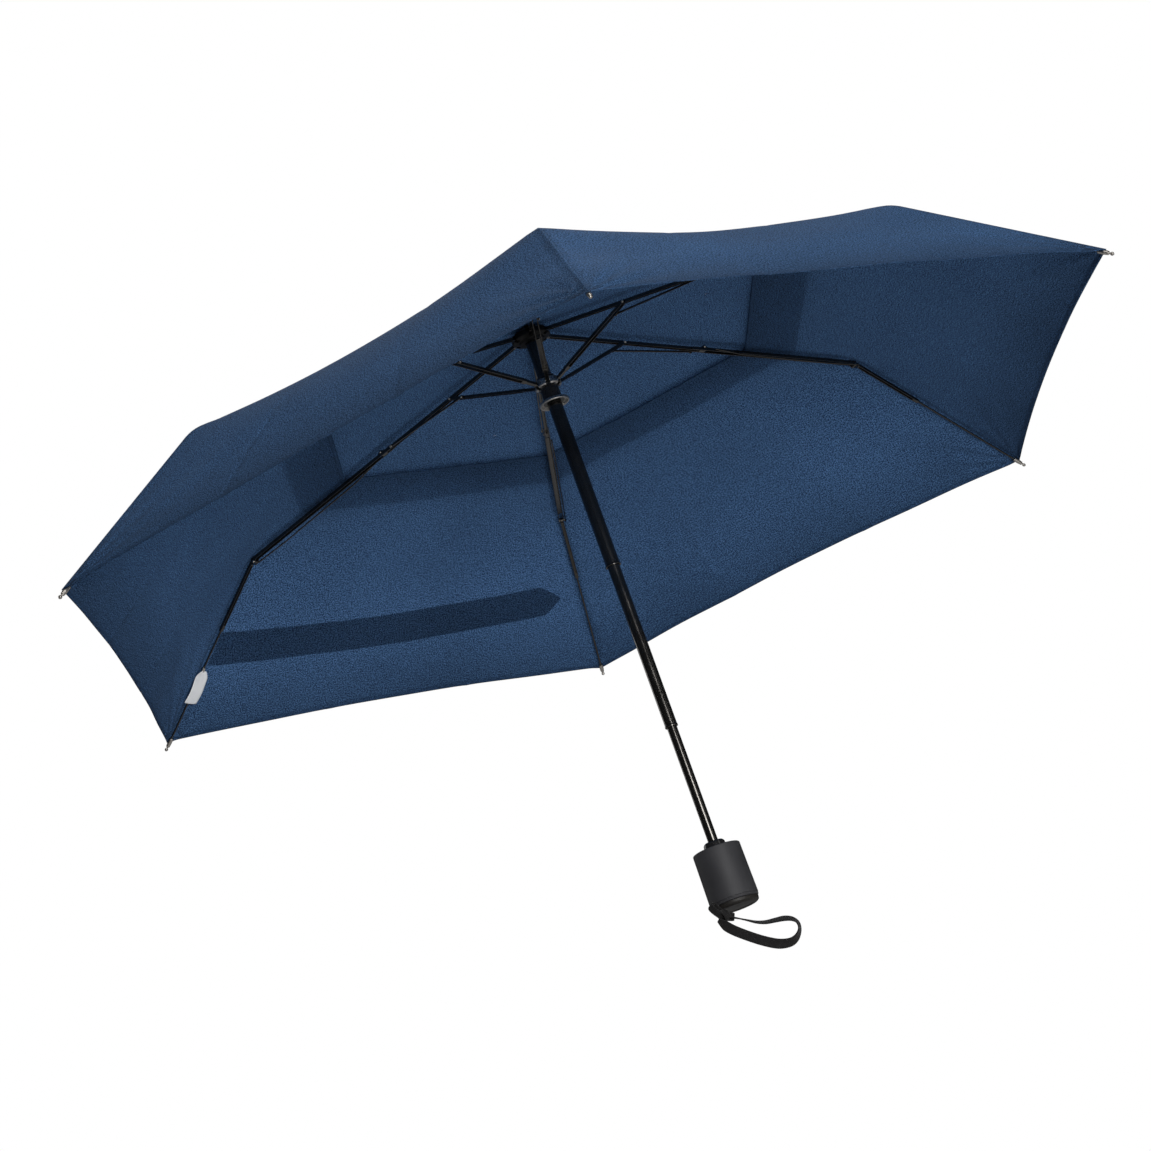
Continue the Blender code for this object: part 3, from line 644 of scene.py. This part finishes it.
class Patch:
    """One cut of cloth on a grid: rows from the middle outwards, columns across the panel."""

    def __init__(self, panel, start, end, across, cover, rows, columns, turn_in=0.0, turn_at_start=False):
        self.panel, self.cover = panel, cover
        u = np.linspace(*across, columns + 1)[None, :]
        t = np.linspace(0, 1, rows + 1)[:, None]
        first, last = value_at(start, u), value_at(end, u)
        s = first + (last - first) * t
        u = np.broadcast_to(u, s.shape).copy()
        lift = np.zeros_like(s)
        self.turned = [0] * (rows + 1)  # which rows are turned under: 1 at the fold, 2 beyond it
        if turn_in:
            s, u, lift = self.with_hem(s, u, lift, turn_in, turn_at_start)
        self.s, self.u, self.lift = s, u, lift

    def with_hem(self, s, u, lift, turn_in, at_start):
        """Adds rows that turn under at the edge and run back on the inside."""
        row, sign = (0, 1) if at_start else (-1, -1)
        edge, side = s[row], u[row]
        under = [(edge + sign * turn_in * share, side, np.full_like(edge, off)) for share, off in TURN_UNDER]
        if at_start:
            self.turned = [-2, -2, -2, -1] + self.turned
            return [np.vstack([*extra, *rows]) for extra, rows in zip(zip(*under[::-1]), (s, u, lift))]
        self.turned = self.turned + [1, 2, 2, 2]
        return [np.vstack([*rows, *extra]) for extra, rows in zip(zip(*under), (s, u, lift))]

    def grid(self):
        """Points and outward normals."""

        def at(s, u):
            return cloth_surface(self.panel, s, np.clip(u, 0, 1), self.cover)

        step = 0.6 * MM
        du = step / (self.s + NOTCH_HINGE_R)
        across = at(self.s, self.u + du) - at(self.s, self.u - du)
        down = at(self.s + step, self.u) - at(self.s - step, self.u)
        normal = np.cross(down, across)
        normal /= np.linalg.norm(normal, axis=-1, keepdims=True)
        points = at(self.s, self.u) + normal * self.lift[..., None]
        down /= np.linalg.norm(down, axis=-1, keepdims=True)
        for row, state in enumerate(self.turned):
            if abs(state) == 1:
                normal[row] = down[row] * state
            elif state:
                normal[row] = -normal[row]
        return points, normal

    def build(self, name, edge=None):
        """The mesh, with the attributes of its finish: the place on the flat cloth, the distances to seam and
        hem, the number of layers and the run of the stitches."""
        points, normals = self.grid()
        rows, columns = self.s.shape
        index = np.arange(rows * columns).reshape(rows, columns)
        quads = np.stack([index[:-1, :-1], index[:-1, 1:], index[1:, 1:], index[1:, :-1]], -1).reshape(-1, 4)
        mesh = bpy.data.meshes.new(name)
        mesh.from_pydata(points.reshape(-1, 3).tolist(), [], quads[:, ::-1].tolist())
        chord = self.s + NOTCH_HINGE_R
        seam = np.minimum(self.u, 1 - self.u) * chord
        hem = np.full_like(self.s, 1.0) if edge is None else np.abs(value_at(edge, self.u) - self.s)
        layers = 1 + (seam < SEAM_WIDTH) * 0.7 - (hem < HEM * 1.01) * 0.5
        run = np.where(hem < seam, self.u * chord, self.s)
        for key, values in (("seam", seam), ("hem", hem), ("layers", layers), ("run", run)):
            made = mesh.attributes.new(key, "FLOAT", "POINT")
            made.data.foreach_set("value", values.astype(np.float32).ravel())
        across, along = (self.u - 0.5) * chord + self.panel * PANEL_STEP, self.s + COVER_STEP * self.cover
        flat = np.stack([across, along], -1).reshape(-1, 2)
        layer = mesh.uv_layers.new(name="cloth")
        corner = np.zeros(len(mesh.loops), np.int32)
        mesh.loops.foreach_get("vertex_index", corner)
        layer.data.foreach_set("uv", flat[corner].astype(np.float32).ravel())
        smooth(mesh)
        mesh.normals_split_custom_set_from_vertices(normals.reshape(-1, 3).tolist())
        return mesh


def flat_area(patch):
    """The patch's area laid flat, and its size as (width, length)."""
    width = np.abs(patch.u[:, -1] - patch.u[:, 0]) * (patch.s[:, 0] + NOTCH_HINGE_R)
    length = float(np.abs(np.diff(patch.s, axis=0)).sum(0).max())
    points, _ = patch.grid()
    here, right, below, opposite = points[:-1, :-1], points[:-1, 1:], points[1:, :-1], points[1:, 1:]
    halves = ((below - here, right - here), (below - opposite, right - opposite))
    area = sum(np.linalg.norm(np.cross(*sides), axis=-1).sum() / 2 for sides in halves)
    return float(area), (float(width.max()), length)


def fold_away(obj, rib, fold, other_side=False):
    """Gives a cut of cloth a mesh of its own; the way its fold runs is worked out and left unused."""
    axis, distance, keep = fold
    way = Vector(axis).normalized()
    if other_side:
        way.y = -way.y
    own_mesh(obj)


def cloth_piece(name, patch, body, material, edge=None, fold=None, replaced=()):
    """The patch as a piece. edge is its hem; with fold, the piece gets a mesh of its own."""
    obj = piece(name, patch.build(name, edge), material, body, replaced)
    if fold:
        fold_away(obj, *fold)
    area, size = flat_area(patch)


# The split of the cloth: rings along the ribs, and in the outermost ring the parts next to each rib apart.
CROWN_R = 20 * MM  # edge of the crown, which stays up
JOINT_S = TOP_RIB  # the vent cover parts at the ribs' first joint
SIDE = 0.25  # width of a part next to a rib, as a share of the panel
SIDE_LAP = 0.001  # and its lap over the middle one
BEND_STEP = 20 * MM  # how much further out the outermost ring starts between the ribs
HALF_WAY = RIB_TO_BEND + 100 * MM  # where its middle part is cut again
LAP = 0.5 * MM

# How each cut is meant to gather as the umbrella closes, in its rib's own axes (outward, across towards the
# next rib, up): the direction in which it flattens, the distance of the plane that it ends in, and what is
# left of its spread. The cloth is not gathered here.
COVER_INNER_FOLD = ((-0.0123, 0.9975, -0.0695), -0.0351, 0.03)
COVER_OUTER_FOLD = ((-0.3433, 0.9389, -0.0241), -0.0881, 0.03)
CANOPY_INNER_FOLD = ((-0.187, 0.9749, -0.1208), -0.12, 0.03)
MIDDLE_FOLD = ((-0.4286, 0.9034, 0.0116), -0.153, 0.03)
HEM_FOLD = ((-0.2212, 0.9576, -0.1846), -0.1575, 0.03)
SIDE_FOLD = ((-0.2149, 0.933, -0.2887), -0.2042, 0.144)
STRAP_FOLD = ((-0.4475, 0.8929, -0.0501), -0.1787, 0.03)


def vent_cover(material):
    """The small canopy over the vent: a crown that stays up, and six panels in two rings."""
    for panel in range(1, RIBS + 1):
        replaced = ("vent_cover",) if panel == 1 else ()
        start, end = along_rib(CROWN_R), along_rib(COVER_R)
        crown = Patch(panel, along_rib(COVER_HOLE), start, (0, 1), True, rows=4, columns=12)
        name = f"cover_crown_{panel}"
        cloth_piece(name, crown, "upper_tube", material, replaced=replaced)
        inner = Patch(panel, start, JOINT_S, (0, 1), True, rows=34, columns=40)
        name, fold = f"cover_inner_{panel}", (panel, COVER_INNER_FOLD)
        cloth_piece(name, inner, f"top_rib_{panel}", material, fold=fold)
        outer = Patch(panel, JOINT_S, end, (0, 1), True, rows=24, columns=52, turn_in=HEM)
        name, fold = f"cover_outer_{panel}", (panel, COVER_OUTER_FOLD)
        cloth_piece(name, outer, f"middle_rib_{panel}", material, end, fold)


def canopy(material):
    """The main canopy: six panels, from the vent to the hem."""
    start, between = along_rib(VENT_R), (SIDE - SIDE_LAP, 1 + SIDE_LAP - SIDE)
    for panel in range(1, RIBS + 1):
        inner = Patch(panel, start, bend_at, (0, 1), False, 26, 64, turn_in=HEM, turn_at_start=True)
        name, fold, replaced = f"canopy_inner_{panel}", (panel, CANOPY_INNER_FOLD), (f"canopy_panel_{panel}",)
        cloth_piece(name, inner, f"middle_rib_{panel}", material, start, fold, replaced)
        rib = f"outer_rib_{panel}"
        upper = Patch(panel, lapped, HALF_WAY, between, False, rows=24, columns=48)
        cloth_piece(f"canopy_middle_{panel}", upper, rib, material, hem_at, (panel, MIDDLE_FOLD))
        lower = Patch(panel, HALF_WAY - LAP, hem_at, between, False, rows=24, columns=48, turn_in=HEM)
        cloth_piece(f"canopy_hem_{panel}", lower, rib, material, hem_at, (panel, HEM_FOLD))
        for side, across, number in (("a", (0, SIDE), panel), ("b", (1 - SIDE, 1), panel % RIBS + 1)):
            patch = Patch(panel, lapped, hem_at, across, False, rows=48, columns=24, turn_in=HEM)
            name, fold = f"canopy_side_{panel}{side}", (number, SIDE_FOLD, side == "b")
            cloth_piece(name, patch, f"outer_rib_{number}", material, hem_at, fold)


def closing_strap(material):
    """A band sewn across one panel on the outside, with a pointed end."""
    low, high = (RIB_TO_BEND + OUTER_RIB * share for share in TIE_AT)
    columns, rows = 70, 8
    u = np.linspace(*TIE_RANGE, columns + 1)[None, :]
    t = np.linspace(-0.5, 0.5, rows + 1)[:, None]
    end = np.clip(TIE_TIP + (1 - TIE_TIP) * (u - TIE_RANGE[0]) / TIE_TAPER, TIE_TIP, 1)
    s = (low + high) / 2 + (high - low) * t * end + 4 * TIE_SAG * u * (1 - u)
    patch = Patch(TIE_PANEL, low, high, TIE_RANGE, False, rows, columns)
    patch.s, patch.u = s, np.broadcast_to(u, s.shape).copy()
    patch.lift = np.full_like(s, TIE_LIFT)
    rib, fold = f"outer_rib_{TIE_PANEL}", (TIE_PANEL, STRAP_FOLD)
    cloth_piece("closing_strap", patch, rib, material, None, fold, ("tie_strap",))


# ---- wrist strap ---------------------

# Points of the wrist strap from end to end in mm, and how far the tape is rolled about its run in degrees.
STRAP_ROUTE = [
    (-16.0, -13.5, -3.0, 0), (-13.0, -15.5, -6.0, 0), (-8.0, -17.5, -8.8, 5),
    (-2.5, -18.5, -12.0, 10), (3.0, -19.5, -15.5, 15), (9.0, -20.5, -19.2, 22),
    (15.5, -21.0, -21.5, 28), (23.0, -21.5, -22.5, 33), (30.0, -22.0, -23.5, 38),
    (35.5, -23.0, -26.0, 34), (38.5, -25.0, -30.5, 25), (37.8, -28.0, -36.5, 18),
    (34.0, -30.5, -41.5, 30), (28.5, -31.5, -44.0, 48), (22.0, -31.5, -43.5, 65),
    (15.5, -31.0, -41.0, 78), (6.5, -29.0, -35.0, 85), (-2.5, -26.0, -27.5, 85),
    (-11.0, -23.0, -19.5, 78), (-16.0, -20.0, -13.0, 66), (-19.0, -17.5, -7.5, 55),
]
STRAP_WIDTH, STRAP_THICKNESS = 8 * MM, 1.2 * MM


def smooth_through(points, steps):
    """A Catmull-Rom curve through the rows of points."""
    points = np.array(points, float)
    padded = np.vstack([2 * points[0] - points[1], points, 2 * points[-1] - points[-2]])
    out = []
    for k in range(len(points) - 1):
        a, b, c, d = padded[k : k + 4]
        for j in range(steps):
            t = j / steps
            square, cube = 2 * a - 5 * b + 4 * c - d, 3 * b - a - 3 * c + d
            out.append(0.5 * (2 * b + (c - a) * t + square * t**2 + cube * t**3))
    out.append(points[-1])
    return np.array(out)


def band(name, route, width, thickness, ups, shares=None):
    """Flat tape along the route, in metres: a closed body with rounded edges. Its flat side faces ups.
    With shares, it is gathered to its share of the width at each point."""
    half, deep = width / 2, thickness / 2
    nose = half - deep
    section = [(-nose + 2 * nose * k / 8, deep) for k in range(9)]
    section += [(nose + deep * math.cos(a), deep * math.sin(a)) for a in (math.pi / 4, 0, -math.pi / 4)]
    section += [(-a, -b) for a, b in section]
    n, points, flat = len(section), [], []
    run = 0.0
    for k, place in enumerate(route):
        ahead = heading(route, k)
        up = ups[k]
        across = ahead.cross(up).normalized()
        run += float(np.linalg.norm(route[k] - route[k - 1])) if k else 0.0
        share = 1.0 if shares is None else shares[k]
        for a, b in section:
            points.append(Vector(place) + across * a * share + up * b)
            flat.append((a, run))
    faces = [tuple(range(n)), tuple(range(len(points) - 1, len(points) - n - 1, -1))]
    for k in range(len(route) - 1):
        for j in range(n):
            after = (j + 1) % n
            faces.append((k * n + j, (k + 1) * n + j, (k + 1) * n + after, k * n + after))
    mesh = plain_mesh(name, points, faces)
    layer = mesh.uv_layers.new(name="cloth")
    for loop in mesh.loops:
        layer.data[loop.index].uv = flat[loop.vertex_index]
    return mesh


def joined(name, meshes):
    """One mesh out of several."""
    work = bmesh.new()
    for mesh in meshes:
        work.from_mesh(mesh)
    out = bpy.data.meshes.new(name)
    work.to_mesh(out)
    work.free()
    return out


# The strap's knot: three turns of tape in mm from its middle, in the directions right, up and towards the
# viewer of someone facing the knot.
KNOT_AT = (-13.6, -15.6, -4.6)
KNOT_AXES = ((0.946, 0.018, -0.322), (0.313, -0.295, 0.903), (-0.078, -0.955, -0.285))
KNOT_WIDTHS, KNOT_THICKNESS = (6.4 * MM, 6.2 * MM, 6.6 * MM), 1.5 * MM
KNOT_TURNS = [
    [
        (3, -1.5, 0), (-1, -0.8, 1.6), (-5, 1.6, 2.0), (-8.6, 4.4, 1.2), (-10.4, 6.6, -0.4),
        (-9.2, 7.6, -2.0), (-6.4, 5.6, -2.8), (-2, 1.4, -2.2), (2.5, -0.8, -1.0),
    ],
    [
        (-3.5, 2.2, 0.4), (-0.5, 3.2, 2.6), (2.2, 1.0, 4.0), (3.2, -2.2, 3.2), (2.2, -4.4, 0.6),
        (-0.6, -3.6, -1.8), (-2.6, 0.2, -2.2),
    ],
    [
        (-0.5, -0.2, -0.5), (3.4, -0.7, 1.5), (6.4, -1.1, 1.5), (7.9, -1.4, 0.1), (6.4, -1.7, -1.3),
        (3.4, -1.6, -1.6), (0, -1.2, -1.0),
    ],
]


def heading(route, k):
    """The direction of the route at its point k."""
    return Vector(route[min(k + 1, len(route) - 1)] - route[max(k - 1, 0)]).normalized()


def strap_knot(material):
    axes = np.array(KNOT_AXES)
    turns = []
    for k, turn in enumerate(KNOT_TURNS):
        route = smooth_through(turn, 5)
        route = (np.array(KNOT_AT) + route @ axes) * MM
        middle = Vector(route.mean(0))
        ups = []
        for j in range(len(route)):
            ahead = heading(route, j)
            out = Vector(route[j]) - middle
            ups.append((out - ahead * out.dot(ahead)).normalized())
        turns.append(band(f"turn_{k}", route, KNOT_WIDTHS[k], KNOT_THICKNESS, ups))
    return piece("strap_knot", joined("strap_knot", turns), material, "handle")


def wrist_strap(material):
    fine = smooth_through(STRAP_ROUTE, 6)
    route, ups = fine[:, :3] * MM, []
    for k, roll in enumerate(fine[:, 3]):
        ahead = heading(route, k)
        out = ahead.cross(Vector((0, 1, 0))).normalized()
        ups.append(Matrix.Rotation(math.radians(roll), 3, ahead) @ out)
    steps = np.linalg.norm(np.diff(route, axis=0), axis=1)
    run = np.concatenate([[0], np.cumsum(steps)])
    shares = np.clip(0.45 + np.minimum(run, run[-1] - run) / (14 * MM), 0, 1)
    mesh = band("wrist_tape", route, STRAP_WIDTH, STRAP_THICKNESS, ups, shares)
    strap = piece("wrist_tape", mesh, material, "handle", ("wrist_strap",))
    strap_knot(material)


# ---- handle and shaft ----------------


def handle(rubber, plastic, gloss):
    """The grip, the neck in its top and the cap under it."""
    top = HANDLE_TOP / MM
    grip = [(4.7, 4.3, False), (19.7, 4.3, True), (20.2, 6.0, False), (19.9, 6.3, False), (19.9, 6.7, False)]
    grip += [(20.4, 7.1, False), (20.1, 26, False), (19.8, top, True), (9.6, top, False)]
    grip += [(9.6, top - 0.8, False), (4.7, top - 0.8, False)]
    mesh = turned("grip", rounded(grip, 1.2 * MM, 6), 128)
    piece("grip", mesh, rubber, "handle", ("handle_grip",))
    neck = [(4.5, -0.8, False), (9.4, -0.8, False), (9.2, 1.2, False)]
    neck += [(8.8, 5.0, True), (7.4, 6.4, True), (4.5, 6.4, False)]
    mesh = turned("grip_neck", rounded(neck, 0.7 * MM, 4, z=HANDLE_TOP), 96)
    piece("grip_neck", mesh, gloss, "handle")
    cap = [(0, 0.6, False), (14.0, 0.6, False), (14.6, 0, False), (17.4, 0, True)]
    cap += [(19.2, 1.6, True), (19.4, CAP_TOP / MM, False), (0, CAP_TOP / MM, False)]
    mesh = turned("grip_cap", rounded(cap, 0.9 * MM, 4), 128)
    piece("grip_cap", mesh, plastic, "handle", ("handle_cap",))


def tube_lips(material):
    """The rolled lower end of the two outer tubes."""
    upper = ("upper_tube", UPPER_TUBE_R, 0.4, UPPER_END)
    middle = ("middle_tube", MIDDLE_TUBE_R, 0.25, LOWER_END)  # flares less, to slide inside the upper one
    for name, outer, flare, end in (upper, middle):
        lip = [(-0.5, -0.6, True), (flare, -0.6, True), (flare, 1.1, True)]
        lip += [(-0.1, 1.6, False), (-0.1, 0.1, False), (-0.5, 0.1, False)]
        mesh = turned(f"{name}_lip", rounded(lip, 0.2 * MM, 3, outer, end), 64)
        piece(f"{name}_lip", mesh, material, name)


def crown_washer(material):
    """The seal between the ferrule's brim and the cloth around its hole."""
    ring = [(3.2, 7.2, True), (7.0, 7.2, True), (12.0, 6.3, True)]
    ring += [(12.0, 7.4, True), (11.2, 8.5, False), (3.2, 9.4, False)]
    mesh = turned("crown_washer", rounded(ring, 0.2 * MM, 3, z=NOTCH_Z), 64)
    piece("crown_washer", mesh, material, "upper_tube")


# ---- small pieces on the ribs --------


def rib_stand(rib, hinge, slope):
    """From a rib piece's own frame (along, across, towards the cloth) to the world."""
    turn = Matrix.Rotation(rib_angle(rib - 1), 4, "Z")
    return turn @ Matrix.Translation((hinge[0], 0, hinge[1])) @ Matrix.Rotation(slope, 4, "Y")


def rivet(radius, height, x, y, z):
    """A domed head on the side of a rib piece, square to it."""
    dome = [(0, height), (radius * 0.45, height * 0.92), (radius * 0.8, height * 0.6)]
    profile = dome + [(radius, 0.1 * height), (radius, 0), (0, 0)]
    mesh = turned("rivet", profile, 20, 60)
    side = 1 if y > 0 else -1
    mesh.transform(Matrix.Translation((x, y, z)) @ Matrix.Rotation(-side * math.pi / 2, 4, "X"))
    return mesh


RIVET_R, RIVET_HEIGHT = 1.25 * MM, 0.75 * MM


def rivets(material):
    """The rivets' heads, at their spots (along, across, up) in the frame of each rib piece."""
    near, far = 2.5 * MM, 4.1 * MM  # on the channels' sides, and on the links outside them
    strut = [(STRUT, near, 0), (STRUT, -near, 0), (STRUT - LINK_BACK, far, 0)]
    outer = (MIDDLE_RIB, -2 * JOINT_RISE)
    middle = [(0, near, 0), (0, -near, 0), (outer[0], near, outer[1]), (outer[0], -near, outer[1])]
    link = [(0, far, 0)]
    for rib in range(1, RIBS + 1):
        for body, spots, hinge, slope in (
            ("strut", strut, RUNNER_HINGE, STRUT_SLOPE),
            ("middle_rib", middle, MIDDLE_AXIS, RIB_SLOPE),
            ("link", link, LINK_END, RIB_SLOPE),
        ):
            mesh = joined(f"{body}_rivets_{rib}", [rivet(RIVET_R, RIVET_HEIGHT, *spot) for spot in spots])
            mesh.transform(rib_stand(rib, hinge, slope))
            smooth(mesh)
            piece(f"{body}_rivets_{rib}", mesh, material, f"{body}_{rib}")


LABEL_RIB, LABEL_FROM, LABEL_TO = 5, 111 * MM, 143 * MM  # its rib, and its ends along that rib
LABEL_HALF, LABEL_THICKNESS = 8.5 * MM, 0.25 * MM


def care_label(material, metal):
    """A blank white label that hangs from the wire of one outer rib, gathered at a crimp."""
    rows, columns = 26, 12
    points = []
    for a in range(rows + 1):
        t = a / rows
        half = LABEL_HALF * (1 - 0.72 * (1 - min(t / 0.22, 1.0)) ** 1.6)
        for b in range(columns + 1):
            v = 2 * b / columns - 1
            wave = 0.8 * MM * math.sin(5.5 * t + 1.2) + 0.7 * MM * math.cos(3.0 * v) * math.exp(-t * 5)
            fold = 0.55 * MM * math.sin(9 * v) * math.exp(-t * 7)
            x = LABEL_FROM + (LABEL_TO - LABEL_FROM) * t - 0.6 * MM * v * v
            points.append((x, half * v + 1.2 * MM * t, JOINT_RISE - 2.4 * MM - 1.6 * MM * t + wave + fold))
    corners = [a * (columns + 1) + b for a in range(rows) for b in range(columns)]
    faces = [(k, k + 1, k + columns + 2, k + columns + 1) for k in corners]
    mesh = bpy.data.meshes.new("care_label")
    mesh.from_pydata(points, [], faces)
    smooth(mesh)
    stand = rib_stand(LABEL_RIB, OUTER_AXIS, OUTER_SLOPE)
    mesh.transform(stand)
    body = f"outer_rib_{LABEL_RIB}"
    label = piece("care_label", mesh, material, body)
    thick = label.modifiers.new("thick", "SOLIDIFY")
    thick.thickness = LABEL_THICKNESS
    tube = [(1.0, 0, True), (2.0, 0, True), (1.7, 4, True), (1.0, 4, True)]
    ring = turned("label_crimp", rounded(tube, 0.3 * MM, 3), 24)
    place = Matrix.Translation((LABEL_FROM - 3 * MM, 0, JOINT_RISE))
    ring.transform(stand @ place @ Matrix.Rotation(math.pi / 2, 4, "Y"))
    crimp = piece("label_crimp", ring, metal, body)


# ---- putting it together -------------


def cad_finishes(steel, bright, hub, rings):
    """Gives each CAD mesh that stays visible its material."""
    special = {"runner": rings, "top_notch": hub, "ferrule": hub}
    for name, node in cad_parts.items():
        made = special.get(name, bright if name.startswith("rib_tip") else steel)
        if not node.material_slots:
            node.data.materials.append(made)
        for slot in node.material_slots:
            slot.material = made


camera()
studio()
floor()
steel = metal_finish(
    "black_lacquer",
    (0.004, 0.004, 0.004),
    roughness=0.16,
    metallic=0.0,
    wear=0.004,
    specular=0.9,
    dents=0.02 * MM,
    tint=(1.0, 0.95, 0.88),
)
bright = metal_finish("nickel", (0.50, 0.47, 0.43), roughness=0.25, metallic=1.0, wear=0.10)
hub = moulded_finish("hub_nylon", (0.005, 0.005, 0.005), 0.45, grain=900, depth=0.02 * MM, specular=0.12)
gloss = moulded_finish("glossy_neck", (0.012, 0.012, 0.013), 0.18, grain=600, depth=0.01 * MM)
rubber = moulded_finish("soft_touch", (0.029, 0.029, 0.032), 0.62, grain=1500, depth=0.05 * MM, specular=0.35)
shell = moulded_finish("cap_shell", (0.015, 0.0135, 0.012), 0.5, grain=1100, depth=0.03 * MM, specular=0.25)
label = label_finish()
tape = webbing_finish()
NAVY = (0.060, 0.130, 0.270)
cloth = cloth_finish("navy_weave", NAVY, through=(0.051, 0.107, 0.222), share=0.36)
band_cloth = cloth_finish("navy_band", NAVY, through=(0.004, 0.008, 0.016), share=0.05, under=False)
rings = runner_finish(dark=(0.012, 0.012, 0.013), metal=(0.34, 0.33, 0.32))
cad_finishes(steel, bright, hub, rings)
wrist_strap(tape)
handle(rubber, shell, gloss)
tube_lips(steel)
crown_washer(hub)
rivets(bright)
care_label(label, bright)
vent_cover(cloth)
canopy(cloth)
closing_strap(band_cloth)
